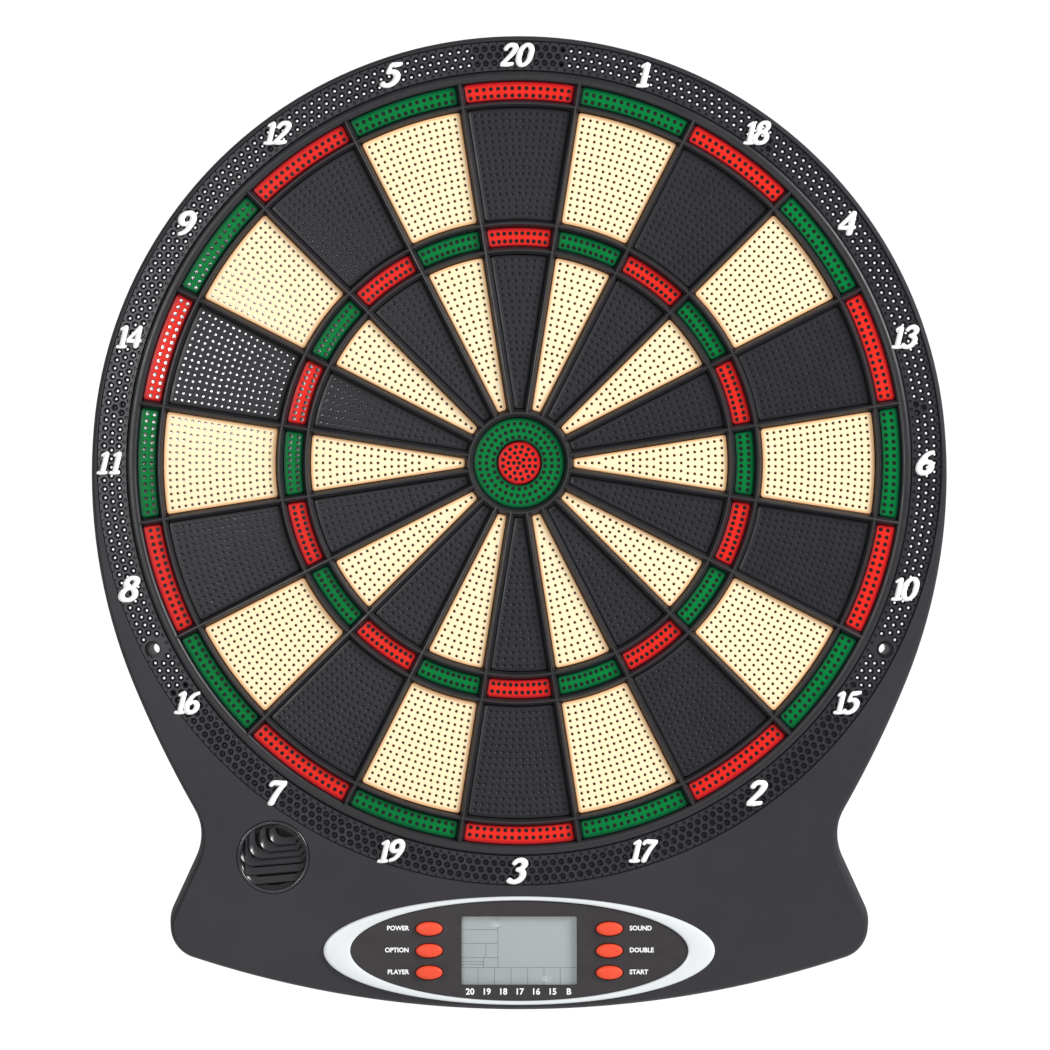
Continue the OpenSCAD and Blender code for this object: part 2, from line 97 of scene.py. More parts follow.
# %% [markdown]
# ## Helpers for building
# `stand` is the matrix that turns a part drawn on its back upright. `make_piece` turns a bmesh
# into an object, with its place in its mesh, smooth faces with sharp creases, and its ride.

# %% Building helpers
UPRIGHT = (0, 0, 1)
stand = Matrix.Rotation(math.radians(90), 4, "X") @ Matrix.Scale(1 / MM, 4)


def add_object(name, data):
    obj = bpy.data.objects.new(name, data)
    bpy.context.scene.collection.objects.link(obj)
    return obj


def make_piece(name, bm, finishes, body, replaces=(), crease=35):
    """Stands a bmesh up, makes it an object and lets it ride on a body of the frame."""
    bm.transform(stand)
    mesh = bpy.data.meshes.new(name)
    bm.to_mesh(mesh)
    bm.free()
    mesh.shade_smooth()
    mesh.set_sharp_from_angle(angle=math.radians(crease))
    for finish in finishes:
        mesh.materials.append(FINISH[finish])
    obj = add_object(name, mesh)
    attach(obj, body)
    if replaces:
        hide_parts(*replaces)
    return obj


def verts_of(result, key="geom"):
    return [g for g in result[key] if isinstance(g, bmesh.types.BMVert)]


def edges_of(result, key="geom"):
    return [g for g in result[key] if isinstance(g, bmesh.types.BMEdge)]


def faces_of(result):
    return [g for g in result["geom"] if isinstance(g, bmesh.types.BMFace)]


def edges_at(verts):
    """Every edge that touches some vertices, each one once and always in the same order."""
    return list(dict.fromkeys(edge for v in verts for edge in v.link_edges))


def inner_edges(edges, verts):
    """The edges whose two ends are both among verts."""
    return [e for e in edges if e.verts[0] in verts and e.verts[1] in verts]


def swing(bm, vert, centre, angle, steps):
    """Spins one vertex into an arc about an upright axis and returns the arc's last vertex."""
    arc = bmesh.ops.spin(
        bm, geom=[vert], cent=centre, axis=UPRIGHT, angle=angle, steps=steps, use_merge=False
    )
    return verts_of(arc, "geom_last")[0]


def draw_on(bm, vert, place):
    """Draws a straight edge from a vertex to a new one, and returns the new one."""
    new = bmesh.ops.extrude_vert_indiv(bm, verts=[vert])["verts"][0]
    new.co = place
    return new


def turn_by(bm, angle):
    """Turns all of bm about the board's axis."""
    bmesh.ops.rotate(bm, cent=(0, 0, 0), matrix=Matrix.Rotation(angle, 3, "Z"), verts=bm.verts)


def lift(bm, face, height):
    """Extrudes a face straight up and returns the new geometry."""
    grown = bmesh.ops.extrude_face_region(bm, geom=[face])
    bmesh.ops.translate(bm, verts=verts_of(grown), vec=(0, 0, height))
    return grown


def soften(bm, geom, offset, segments=2, affect="EDGES"):
    """Rounds edges or corners over."""
    bmesh.ops.bevel(
        bm, geom=geom, offset=offset, segments=segments, profile=0.5, affect=affect, material=-1
    )


def oval_loop(bm, a, b, z, centre=(0, 0), count=96):
    """A closed loop of edges on an ellipse, and on a circle when a equals b."""
    place = Matrix.Translation((centre[0], centre[1], z)) @ Matrix.Diagonal((a, b, 1, 1))
    verts = bmesh.ops.create_circle(bm, segments=count, radius=1, matrix=place)["verts"]
    return edges_at(verts)


def bridge(bm, loop_a, loop_b):
    """Joins two loops with a wall, or with a flat ring where both lie at one height."""
    if abs(loop_a[0].verts[0].co.z - loop_b[0].verts[0].co.z) < 0.001:
        fill(bm, loop_a + loop_b)
    else:
        bmesh.ops.bridge_loops(bm, edges=loop_a + loop_b)


def stack(bm, loops):
    """Bridges each loop to the next, which lofts a wall through them."""
    for lower, upper in zip(loops, loops[1:]):
        bridge(bm, lower, upper)


def fill(bm, edges):
    """Fills a flat outline, leaving open every loop that lies inside it."""
    bmesh.ops.triangle_fill(bm, use_beauty=True, use_dissolve=False, edges=edges, normal=(0, 0, 1))


def push(bm, edges, depth):
    """Extrudes a loop of edges straight along z and returns the new loop."""
    grown = bmesh.ops.extrude_edge_only(bm, edges=edges)
    new = verts_of(grown)
    bmesh.ops.translate(bm, verts=new, vec=(0, 0, depth))
    return inner_edges(edges_of(grown), set(new))


def close_up(bm):
    bmesh.ops.remove_doubles(bm, verts=bm.verts, dist=0.0005)
    bmesh.ops.recalc_face_normals(bm, faces=bm.faces)


def turned(profile, steps=180, angle=2 * math.pi, start=0.0, centre=(0, 0)):
    """Spins a closed profile of (radius, height) points about the board's axis."""
    bm = bmesh.new()
    cx, cy = centre
    away = Vector((math.cos(start), math.sin(start)))
    corners = [bm.verts.new((cx + r * away.x, cy + r * away.y, h)) for r, h in profile]
    outline = bm.faces.new(corners)
    full = abs(angle - 2 * math.pi) < 1e-6
    geom = [outline, *outline.edges, *outline.verts]
    if full:
        bmesh.ops.delete(bm, geom=[outline], context="FACES_ONLY")
        geom = list(bm.edges) + list(bm.verts)
    bmesh.ops.spin(bm, geom=geom, cent=(*centre, 0), axis=UPRIGHT, angle=angle, steps=steps, use_merge=full)
    close_up(bm)
    return bm


def absorb(bm, other):
    """Moves another bmesh's geometry into bm."""
    scratch = bpy.data.meshes.new("scratch")
    other.to_mesh(scratch)
    other.free()
    bm.from_mesh(scratch)
    bpy.data.meshes.remove(scratch)


# %% [markdown]
# ## Moulded plastic
# One recipe serves every plastic on the board: a base colour that drifts slightly over some
# centimetres, a fine grain in the bump and a little unevenness in the gloss. A `rim` attribute,
# where a piece has one, mixes in a darker colour: painted shade towards the border of a segment,
# down its rounded sides and in the throats of its wells.

# %% Plastic material
GRAIN_DEPTH = 0.0001
GLOW_REACH = (0.0022, 0.0014, 0.0008)


def nodes_for(name):
    material = bpy.data.materials.new(name)
    material.use_nodes = True
    tree = material.node_tree
    return material, tree, tree.nodes["Principled BSDF"]


def preset(node, **values):
    """Sets constants on a node's sockets; an underscore in a name stands for a space."""
    for socket, value in values.items():
        node.inputs[socket.replace("_", " ")].default_value = value


def noise(tree, scale, detail=3.0):
    coords = tree.nodes.new("ShaderNodeTexCoord")
    texture = tree.nodes.new("ShaderNodeTexNoise")
    preset(texture, Scale=scale, Detail=detail)
    tree.links.new(coords.outputs["Object"], texture.inputs["Vector"])
    return texture.outputs["Fac"]


def spread(tree, value, low, high):
    """Maps a 0 to 1 value onto the range low to high."""
    node = tree.nodes.new("ShaderNodeMapRange")
    preset(node, From_Min=0.3, From_Max=0.7, To_Min=low, To_Max=high)
    tree.links.new(value, node.inputs["Value"])
    return node.outputs["Result"]


def mixed(tree, factor, colour_a, colour_b):
    node = tree.nodes.new("ShaderNodeMix")
    node.data_type = "RGBA"
    for socket, colour in (("A", colour_a), ("B", colour_b)):
        target = [s for s in node.inputs if s.name == socket and s.type == "RGBA"][0]
        if isinstance(colour, tuple):
            target.default_value = (*colour, 1)
        else:
            tree.links.new(colour, target)
    tree.links.new(factor, node.inputs["Factor"])
    return [s for s in node.outputs if s.type == "RGBA"][0]


def grain_bump(tree, shader, scale, strength):
    bump = tree.nodes.new("ShaderNodeBump")
    preset(bump, Strength=strength, Distance=GRAIN_DEPTH)
    tree.links.new(noise(tree, scale, 4.0), bump.inputs["Height"])
    tree.links.new(bump.outputs["Normal"], shader.inputs["Normal"])


def plastic(name, light, dark, roughness, grain, bump, specular, rim=None, glow=0.0):
    """Moulded plastic that drifts between two colours, with a fine grain."""
    material, tree, shader = nodes_for(name)
    colour = mixed(tree, spread(tree, noise(tree, 22.0), 0.0, 1.0), light, dark)
    # rim is the colour of painted shade, mixed in by the rim attribute at borders and well throats.
    if rim:
        attribute = tree.nodes.new("ShaderNodeAttribute")
        attribute.attribute_name = "rim"
        colour = mixed(tree, attribute.outputs["Fac"], colour, rim)
    tree.links.new(colour, shader.inputs["Base Color"])
    tree.links.new(spread(tree, noise(tree, 160.0), *roughness), shader.inputs["Roughness"])
    preset(shader, Specular_IOR_Level=specular)
    if glow:
        preset(shader, Subsurface_Weight=glow, Subsurface_Radius=GLOW_REACH, Subsurface_Scale=1.0)
    grain_bump(tree, shader, grain, bump)
    return material


# %% [markdown]
# Each plastic is a light and a dark colour, the range of its roughness, the fineness and the
# strength of its grain and its shine. The colour of its painted border shade and its inner glow
# follow where it has them.

# %% Table of plastics
PLASTICS = {
    "casing_grey": ((0.028, 0.026, 0.031), (0.023, 0.021, 0.026), (0.45, 0.58), 1500, 0.25, 0.30),
    "catch_black": ((0.023, 0.022, 0.028), (0.018, 0.017, 0.022), (0.24, 0.34), 1200, 0.10, 0.6),
    "spider_black": ((0.019, 0.018, 0.021), (0.015, 0.014, 0.017), (0.33, 0.45), 1200, 0.12, 0.42),
    "cover_black": ((0.030, 0.030, 0.034), (0.023, 0.023, 0.026), (0.5, 0.65), 1500, 0.3, 0.3),
    # A segment plastic's seventh entry is its painted shade colour for borders and well throats.
    "segment_black": (
        (0.015, 0.014, 0.019), (0.011, 0.010, 0.015), (0.34, 0.44), 1400, 0.08, 0.35, (0.008, 0.008, 0.010),
    ),
    "segment_cream": (
        (0.99, 0.825, 0.545), (0.96, 0.785, 0.50), (0.36, 0.46), 1400, 0.06, 0.3, (0.90, 0.50, 0.24), 0.12,
    ),
    "segment_red": (
        (0.76, 0.022, 0.012), (0.70, 0.016, 0.010), (0.30, 0.42), 1400, 0.06, 0.18, (0.36, 0.004, 0.008),
    ),
    "segment_green": (
        (0.0, 0.190, 0.040), (0.0, 0.160, 0.034), (0.30, 0.42), 1400, 0.06, 0.10, (0.0, 0.058, 0.022),
    ),
    # Painted shade on the lower shafts and floors of the wells; glossy, so the lamp glints in them.
    "well_shade_dark": ((0.010, 0.009, 0.011), (0.006, 0.006, 0.008), (0.08, 0.13), 500, 0.0, 0.8),
    "well_shade_amber": ((0.070, 0.036, 0.012), (0.050, 0.026, 0.009), (0.08, 0.13), 500, 0.0, 0.8),
    "number_white": ((0.93, 0.93, 0.93), (0.89, 0.89, 0.90), (0.35, 0.5), 900, 0.05, 0.4),
    "panel_black": ((0.036, 0.032, 0.034), (0.030, 0.027, 0.029), (0.30, 0.42), 1600, 0.12, 0.4),
    "button_red": ((0.82, 0.078, 0.030), (0.76, 0.065, 0.024), (0.42, 0.55), 1300, 0.08, 0.35),
    "grille_black": ((0.030, 0.029, 0.033), (0.024, 0.023, 0.027), (0.16, 0.26), 900, 0.06, 0.6),
    "silver": ((0.72, 0.75, 0.77), (0.67, 0.70, 0.72), (0.30, 0.40), 2200, 0.12, 0.6),
    "lcd_grey": ((0.325, 0.352, 0.355), (0.30, 0.327, 0.332), (0.5, 0.6), 400, 0.0, 0.2),
    "lcd_line": ((0.12, 0.125, 0.14), (0.10, 0.105, 0.12), (0.5, 0.6), 400, 0.0, 0.2),
    "floor_white": ((0.9, 0.9, 0.9), (0.88, 0.88, 0.88), (0.7, 0.8), 20, 0.02, 0.2),
    "basket_black": ((0.012, 0.012, 0.013), (0.009, 0.009, 0.010), (0.35, 0.5), 900, 0.1, 0.4),
    "foam_grey": ((0.16, 0.16, 0.17), (0.12, 0.12, 0.13), (0.85, 0.95), 2500, 0.8, 0.1),
    "printed_film": ((0.60, 0.58, 0.46), (0.52, 0.50, 0.40), (0.3, 0.4), 600, 0.03, 0.4),
    "ribbon_cable": ((0.62, 0.55, 0.34), (0.55, 0.48, 0.30), (0.35, 0.5), 600, 0.05, 0.4),
    "mat_grey": ((0.26, 0.27, 0.28), (0.22, 0.23, 0.24), (0.6, 0.75), 900, 0.1, 0.3),
    "board_green": ((0.02, 0.13, 0.05), (0.015, 0.10, 0.04), (0.3, 0.45), 800, 0.1, 0.5),
    "resin_black": ((0.012, 0.012, 0.013), (0.008, 0.008, 0.009), (0.15, 0.3), 500, 0.1, 0.5),
    "paper_cone": ((0.018, 0.018, 0.020), (0.012, 0.012, 0.014), (0.8, 0.9), 1800, 0.5, 0.2),
    "ferrite": ((0.05, 0.05, 0.055), (0.035, 0.035, 0.04), (0.55, 0.7), 1200, 0.3, 0.3),
    "lead_red": ((0.5, 0.02, 0.02), (0.4, 0.015, 0.015), (0.35, 0.5), 600, 0.05, 0.4),
    "cell_wrap": ((0.05, 0.13, 0.35), (0.04, 0.10, 0.28), (0.2, 0.3), 400, 0.03, 0.5),
}
FINISH = {name: plastic(name, *look) for name, look in PLASTICS.items()}
print("mixed", len(FINISH), "plastics")
# Each bed takes its plastic, then the painted shade of its wells.
BED_FINISHES = {
    "cream": ["segment_cream", "well_shade_amber"],
    "black": ["segment_black", "well_shade_dark"],
    "red": ["segment_red", "well_shade_dark"],
    "green": ["segment_green", "well_shade_dark"],
}

# %% [markdown]
# ## Perforated segments
# A segment is a slice of ring, so its outline comes from two vertices spun into arcs. Its sides
# run parallel to the spokes, which is why the arcs stop a fixed distance short of them. The face
# is rounded over with a bevel, then refilled around a field of small circles, and each circle is
# extruded down into a countersunk well. Filling a flat outline with holes is quick and exact,
# where thousands of boolean cuts would be slow.

# %% Segment outline
ARC_STEP = 2.2


def sector_face(bm, r_in, r_out, gap, z, corner):
    """One n-gon: a slice of ring pointing along +X, with rounded corners."""
    ends = []
    for radius, way in ((r_in, 1), (r_out, -1)):
        half = PITCH / 2 - math.asin(gap / radius)
        start = bm.verts.new((radius * math.cos(half), -way * radius * math.sin(half), z))
        steps = max(6, round(radius * half / ARC_STEP))
        ends.append((start, swing(bm, start, (0, 0, z), 2 * half * way, steps)))
    corners = [v for pair in ends for v in pair]
    bm.edges.new((ends[0][1], ends[1][0]))
    bm.edges.new((ends[1][1], ends[0][0]))
    bmesh.ops.contextual_create(bm, geom=list(bm.edges))
    soften(bm, corners, corner, 4, "VERTICES")
    return max(bm.faces, key=lambda f: f.calc_area())


def raised_block(bm, r_in, r_out, gap, low, high, corner, round_over):
    """Extrudes a sector into a block, rounds its front edge and opens its front face."""
    face = sector_face(bm, r_in, r_out, gap, low, corner)
    top = faces_of(lift(bm, face, high - low))[0]
    soften(bm, list(top.edges), round_over)
    front = max(bm.faces, key=lambda f: (round(f.calc_center_median().z, 4), f.calc_area()))
    rim = list(front.edges)
    bmesh.ops.delete(bm, geom=[front], context="FACES_ONLY")
    return rim


# %% Wells for the dart tips
HOLE_SIDES = 8
WELL_DEPTH, COUNTERSINK, CONE_DEPTH = 0.95, 0.25, 0.012
# How much painted shade the rim attribute gives at a segment's border and in its well throats.
BORDER_SHADE, THROAT_SHADE = 1.0, 0.7


def tint(edges, layer, amount):
    """Writes how much painted shade the ends of some edges take."""
    for edge in edges:
        for v in edge.verts:
            v[layer] = amount


def place_wells(bm, spots, mouth, z, centre_layer, sides=HOLE_SIDES):
    """Draws one small circle for each well and remembers its centre on its vertices."""
    rims = []
    for x, y in spots:
        place = Matrix.Translation((x, y, z))
        made = bmesh.ops.create_circle(bm, segments=sides, radius=mouth, matrix=place)["verts"]
        for v in made:
            v[centre_layer] = (x, y, z)
        rims.extend(edges_at(made))
    return rims


def sink(bm, rims, centre_layer, factor, depth, material=0):
    """Extrudes every rim down by depth while its circle shrinks about its own centre."""
    grown = bmesh.ops.extrude_edge_only(bm, edges=rims)
    new = set(verts_of(grown))
    for v in new:
        middle = v[centre_layer]
        flat = middle.xy + (v.co.xy - middle.xy) * factor
        v.co = (flat.x, flat.y, v.co.z - depth)
    for face in faces_of(grown):
        face.material_index = material
    return inner_edges(edges_of(grown), new)


def perforate(bm, rim, spots, mouth, z, floor, throat_share):
    """Fills the open front between rim and wells, and sinks each well to a nearly flat floor."""
    centre_layer = bm.verts.layers.float_vector.new("centre")
    shade_layer = bm.verts.layers.float.new("rim")
    # Painted shade: the border edges and every vertex below the face take the full darker colour.
    tint(rim, shade_layer, BORDER_SHADE)
    for v in bm.verts:
        if v.co.z < z - 0.01:
            v[shade_layer] = BORDER_SHADE
    wells = place_wells(bm, spots, mouth, z, centre_layer)
    fill(bm, rim + wells)
    throat = sink(bm, wells, centre_layer, throat_share, COUNTERSINK)
    # The lower shaft and the floor take the second finish, painted shade of a deep well.
    bottom = sink(bm, throat, centre_layer, 0.97, z - COUNTERSINK - floor, 1)
    caps = bmesh.ops.edgeloop_fill(bm, edges=bottom)["faces"]
    cones = bmesh.ops.poke(bm, faces=caps)
    for face in cones["faces"]:
        face.material_index = 1
    for apex in cones["verts"]:
        apex.co.z = floor - CONE_DEPTH
    # Painted shade in the throats of the wells.
    tint(throat, shade_layer, THROAT_SHADE)
    bm.verts.layers.float_vector.remove(centre_layer)


# %% [markdown]
# ## Where the holes lie
# The holes of a bed sit on arcs about the bull. The first and last hole of an arc keep a fixed
# distance from the spokes, and the others share the arc evenly, so wider arcs hold more holes.

# %% Hole patterns
def arc_rows(rows, margin):
    """Hole centres for rows of (radius, count), margin away from the spokes' middle lines."""
    spots = []
    for radius, count in rows:
        half = PITCH / 2 - math.asin(margin / radius)
        for k in range(count):
            angle = 0.0 if count == 1 else -half + 2 * half * k / (count - 1)
            spots.append((radius * math.cos(angle), radius * math.sin(angle)))
    return spots


def even_radii(first, last, count):
    return [first + (last - first) * k / (count - 1) for k in range(count)]


OUTER_COUNTS = [10] * 3 + [11] * 3 + [12] * 3 + [13] * 4 + [14] * 3
INNER_COUNTS = [1] * 4 + [2] * 2 + [3] * 2 + [4] * 4 + [5] * 4 + [6] * 3 + [7] * 3
OUTER_ROWS = list(zip(even_radii(112.3, 157.3, len(OUTER_COUNTS)), OUTER_COUNTS))
INNER_ROWS = list(zip(even_radii(26.6, 91.4, len(INNER_COUNTS)), INNER_COUNTS))
RING_MOUTH, BED_MOUTH = 1.05, 0.95
BEDS = {
    "double": (DOUBLE, arc_rows([(r, 15) for r in (165.4, 168.7)], 4.1), RING_MOUTH),
    "outer_single": (OUTER_SINGLE, arc_rows(OUTER_ROWS, 4.4), BED_MOUTH),
    "triple": (TRIPLE, arc_rows([(r, 10) for r in (99.9, 103.4)], 4.0), RING_MOUTH),
    "inner_single": (INNER_SINGLE, arc_rows(INNER_ROWS, 4.2), BED_MOUTH),
}
print("holes in one number:", sum(len(spots) for _, spots, _ in BEDS.values()))

# %% Build the eighty segments
CORNER_R, ROUND_OVER = 1.3, 0.45
FLANGE_W, FLANGE_T, FLANGE_CORNER_R = 1.1, 1.9, 0.8
THROAT_SHARES = {RING_MOUTH: 0.86, BED_MOUTH: 0.68}


def make_segment(name, bed, angle, finish, body, number_node):
    (r_in, r_out), spots, mouth = BEDS[bed]
    bm = bmesh.new()
    rim = raised_block(bm, r_in, r_out, EDGE_GAP, SEGMENT_BACK_H + 1.2, SEGMENT_H, CORNER_R, ROUND_OVER)
    perforate(bm, rim, spots, mouth, SEGMENT_H, SEGMENT_H - WELL_DEPTH, THROAT_SHARES[mouth])
    flange = bmesh.new()
    wider = EDGE_GAP - FLANGE_W
    face = sector_face(flange, r_in - FLANGE_W, r_out + FLANGE_W, wider, SEGMENT_BACK_H, FLANGE_CORNER_R)
    lift(flange, face, FLANGE_T)
    absorb(bm, flange)
    bmesh.ops.recalc_face_normals(bm, faces=bm.faces)
    turn_by(bm, angle)
    finishes = BED_FINISHES[finish]
    return make_piece(name, bm, finishes, body, [number_node])


for i, number in enumerate(NUMBERS):
    angle = math.pi / 2 - i * PITCH
    ring_finish, bed_finish = ("green", "cream") if i % 2 else ("red", "black")
    for bed in BEDS:
        finish = ring_finish if bed in ("double", "triple") else bed_finish
        make_segment(f"{bed}_{number}", bed, angle, finish, f"segments_{number}", f"number_{number}")

# %% [markdown]
# ## The bulls
# The bull is two pieces: a red button inside a green ring. Both are built from stacked circles,
# because a stack gives the flange, the wall and the rounded shoulder in one list of radii.

# %% Inner and outer bull
BULL_MOUTH, BULL_THROAT_SHARE = 1.0, 0.92
BULL_BODIES = {"outer_bull": "bull_outer", "inner_bull": "bull_inner"}


def circle_stack(bm, steps):
    loops = [oval_loop(bm, r, r, h) for r, h in steps]
    stack(bm, loops)
    return loops


def shoulder(radius, way):
    """Rounded front corner of a round wall, as (radius, height) steps."""
    steps = ((0, 0.5), (0.14, 0.14), (0.5, 0))
    return [(radius - across * way, SEGMENT_H - down) for across, down in steps]


def circle_rows(rows):
    spots = []
    for radius, count in rows:
        for k in range(count):
            angle = 2 * math.pi * (k + 0.5) / count
            spots.append((radius * math.cos(angle), radius * math.sin(angle)))
    return spots


def make_bull(name, node, steps, bore_steps, rows, finish):
    bm = bmesh.new()
    outer = circle_stack(bm, steps)
    if bore_steps:
        bore = circle_stack(bm, bore_steps)
        bridge(bm, outer[0], bore[0])
        rim = outer[-1] + bore[-1]
    else:
        fill(bm, outer[0])
        rim = outer[-1]
    perforate(bm, rim, circle_rows(rows), BULL_MOUTH, SEGMENT_H, SEGMENT_H - WELL_DEPTH, BULL_THROAT_SHARE)
    close_up(bm)
    finishes = BED_FINISHES[finish]
    return make_piece(name, bm, finishes, BULL_BODIES[node], [node])


def flanged(radius, flange_radius, flange_height, way):
    """A round wall that steps from a flange at the back to a rounded front."""
    foot = [(flange_radius, SEGMENT_BACK_H), (flange_radius, flange_height), (radius, flange_height)]
    return foot + shoulder(radius, way)


FLANGE_H = SEGMENT_BACK_H + FLANGE_T
BORE_R, BORE_FLANGE_H = INNER_BULL_R + 0.6, 26.0
make_bull(
    "bull_ring", "outer_bull",
    flanged(OUTER_BULL_R, OUTER_BULL_R + 1, FLANGE_H, 1),
    flanged(BORE_R, INNER_BULL_R + 1.9, BORE_FLANGE_H, -1),
    [(11.75, 26), (14.75, 33), (17.75, 39)], "green",
)
make_bull(
    "bull_button", "inner_bull",
    flanged(INNER_BULL_R, INNER_BULL_R + 1.6, FLANGE_H, 1), [],
    [(0, 1), (2.4, 5), (4.9, 11), (7.4, 16)], "red",
)
print("bulls done")

# %% [markdown]
# ## The spider
# The spider is the grid that parts the beds and throws a stray dart into one of them. Its bars
# have a ridge and two sloping flanks. Rings and spokes share one ridge height, so their flanks
# meet in clean mitres where they cross, without any cutting.

# %% Spider rings
def ridge_profile(low, high, crest):
    middle = (low + high) / 2
    return [
        (low, BAR_BACK_H), (high, BAR_BACK_H), (high, crest - 2.3), (high - 0.25, crest - 1.75),
        (middle + 0.42, crest - 0.08), (middle, crest), (middle - 0.42, crest - 0.08),
        (low + 0.25, crest - 1.75), (low, crest - 2.3),
    ]


GAP = 0.25
rings = bmesh.new()
for low, high in (
    (OUTER_BULL_R, INNER_SINGLE[0]), (INNER_SINGLE[1], TRIPLE[0]), (TRIPLE[1], OUTER_SINGLE[0]),
    (OUTER_SINGLE[1], DOUBLE[0]),
):
    absorb(rings, turned(ridge_profile(low + GAP, high - GAP, BAR_H - 0.05), steps=240))
band_low, band_high = DOUBLE[1] + GAP, SPIDER_R
absorb(rings, turned([
    (band_low, BAR_BACK_H), (band_high, BAR_BACK_H), (band_high, BAR_H - 2.0),
    (band_high - 0.5, BAR_H - 1.2), (band_high - 1.3, BAR_H - 0.85), (band_low + 1.3, BAR_H - 0.75),
    (band_low + 0.5, BAR_H - 1.2), (band_low, BAR_H - 2.1),
], steps=240))
make_piece("spider_rings", rings, ["spider_black"], "board", ["spider"])

# %% Spider spokes
def spoke():
    """One bar along +X: a ridged section extruded outwards, with a hipped point at the rim."""
    bm = bmesh.new()
    section = [
        bm.verts.new((OUTER_BULL_R + 1.8, y, z))
        for y, z in ridge_profile(-EDGE_GAP + GAP, EDGE_GAP - GAP, BAR_H)
    ]
    end = bm.faces.new(section)
    for run, narrow, drop in ((DOUBLE[1] - OUTER_BULL_R - 2.6, 1.0, 0.0), (4.4, 0.25, 1.5)):
        grown = bmesh.ops.extrude_face_region(bm, geom=[end])
        moved = verts_of(grown)
        bmesh.ops.translate(bm, verts=moved, vec=(run, 0, 0))
        bmesh.ops.scale(bm, verts=moved, vec=(1, narrow, 1))
        for v in moved:
            if v.co.z > BAR_BACK_H + 1:
                v.co.z -= drop
        end = faces_of(grown)[0]
    buried = [f for f in bm.faces if all(len(e.link_faces) > 2 for e in f.edges)]
    bmesh.ops.delete(bm, geom=buried, context="FACES_ONLY")
    bmesh.ops.recalc_face_normals(bm, faces=bm.faces)
    return bm


spokes = bmesh.new()
for i in range(len(NUMBERS)):
    bar = spoke()
    turn_by(bar, (i + 0.5) * PITCH)
    absorb(spokes, bar)
make_piece("spider_spokes", spokes, ["spider_black"], "board", crease=20)
print("spider ridges stand", round(BAR_H, 2), "mm from the wall")

# %% [markdown]
# ## The catch ring
# Around the target runs a honeycomb band that catches wide darts. It is one column of dimples,
# 1.2 degrees wide, repeated 300 times. The column's edges zigzag between the dimples, so that
# neighbours meet without cutting one. Around the top and the sides the dimples go right through
# to the wall, and at the bottom and behind the 20 they are blind.

# %% One column of the honeycomb
COLUMN = math.radians(1.2)
HALF = COLUMN / 2
DIMPLE_ROWS = [
    (178.0, 0, 0.85), (180.4, HALF, 1.62), (183.7, 0, 1.62), (187.0, HALF, 1.62), (188.95, 0, 0.62),
]
ZIGZAG = [
    (177.0, -HALF), (178.65, -HALF), (179.35, 0), (181.5, 0), (182.6, -HALF), (184.8, -HALF),
    (185.9, 0), (188.1, 0), (188.75, -HALF), (189.6, -HALF),
]
CATCH_BACK_H = back_of("spider") + 1.6
SCREW_R, SCREW_ANGLE, HEAD_R = 184.8, 27.0, 3.9


def polar(r, angle, z=0.0):
    return (r * math.cos(angle), r * math.sin(angle), z)


def chain(bm, points):
    verts = [bm.verts.new(p) for p in points]
    return verts, [bm.edges.new(pair) for pair in zip(verts, verts[1:])]


def column_outline(bm, z, columns):
    """Zigzag sides joined along the inner and outer edge of the band."""
    edges, sides = [], []
    for shift in (0, columns * COLUMN):
        side, side_edges = chain(bm, [polar(r, a + shift, z) for r, a in ZIGZAG])
        sides.append(side)
        edges += side_edges
    for end, radius in ((0, ZIGZAG[0][0]), (-1, ZIGZAG[-1][0])):
        between = [bm.verts.new(polar(radius, -HALF + k * COLUMN, z)) for k in range(1, columns)]
        path = [sides[0][end], *between, sides[1][end]]
        edges += [bm.edges.new(pair) for pair in zip(path, path[1:])]
    return edges


def catch_column(columns, through, screw=False):
    """Some columns of the band, with wells or through holes and perhaps a screw hole."""
    bm = bmesh.new()
    layer = bm.verts.layers.float_vector.new("centre")
    front, rear = column_outline(bm, CATCH_H, columns), column_outline(bm, CATCH_BACK_H, columns)
    wells, small = [], []
    centre = polar(SCREW_R, (columns - 1) * HALF)
    for row, (radius, offset, mouth) in enumerate(DIMPLE_ROWS):
        for k in range(columns):
            x, y, _ = polar(radius, offset + k * COLUMN)
            if screw and math.dist((x, y), centre[:2]) < HEAD_R + 0.2 + mouth:
                continue
            rims, sides = (wells, 10) if mouth > 1 else (small, 7)
            rims.extend(place_wells(bm, [(x, y)], mouth, CATCH_H, layer, sides))
    hole = oval_loop(bm, HEAD_R, HEAD_R, CATCH_H, centre[:2], 32) if screw else []
    fill(bm, front + wells + small + hole)
    if small:
        closed = sink(bm, small, layer, 0.55, 0.9)
        bmesh.ops.edgeloop_fill(bm, edges=closed)
    throat = sink(bm, sink(bm, wells, layer, 0.78, 0.55), layer, 0.47, 0.9)
    if through:
        rear += sink(bm, throat, layer, 1.0, CATCH_H - 1.45 - CATCH_BACK_H)
    else:
        bmesh.ops.edgeloop_fill(bm, edges=sink(bm, throat, layer, 0.8, 0.5))
    if screw:
        rear += push(bm, hole, CATCH_BACK_H - CATCH_H)
    fill(bm, rear)
    bm.verts.layers.float_vector.remove(layer)
    return bm


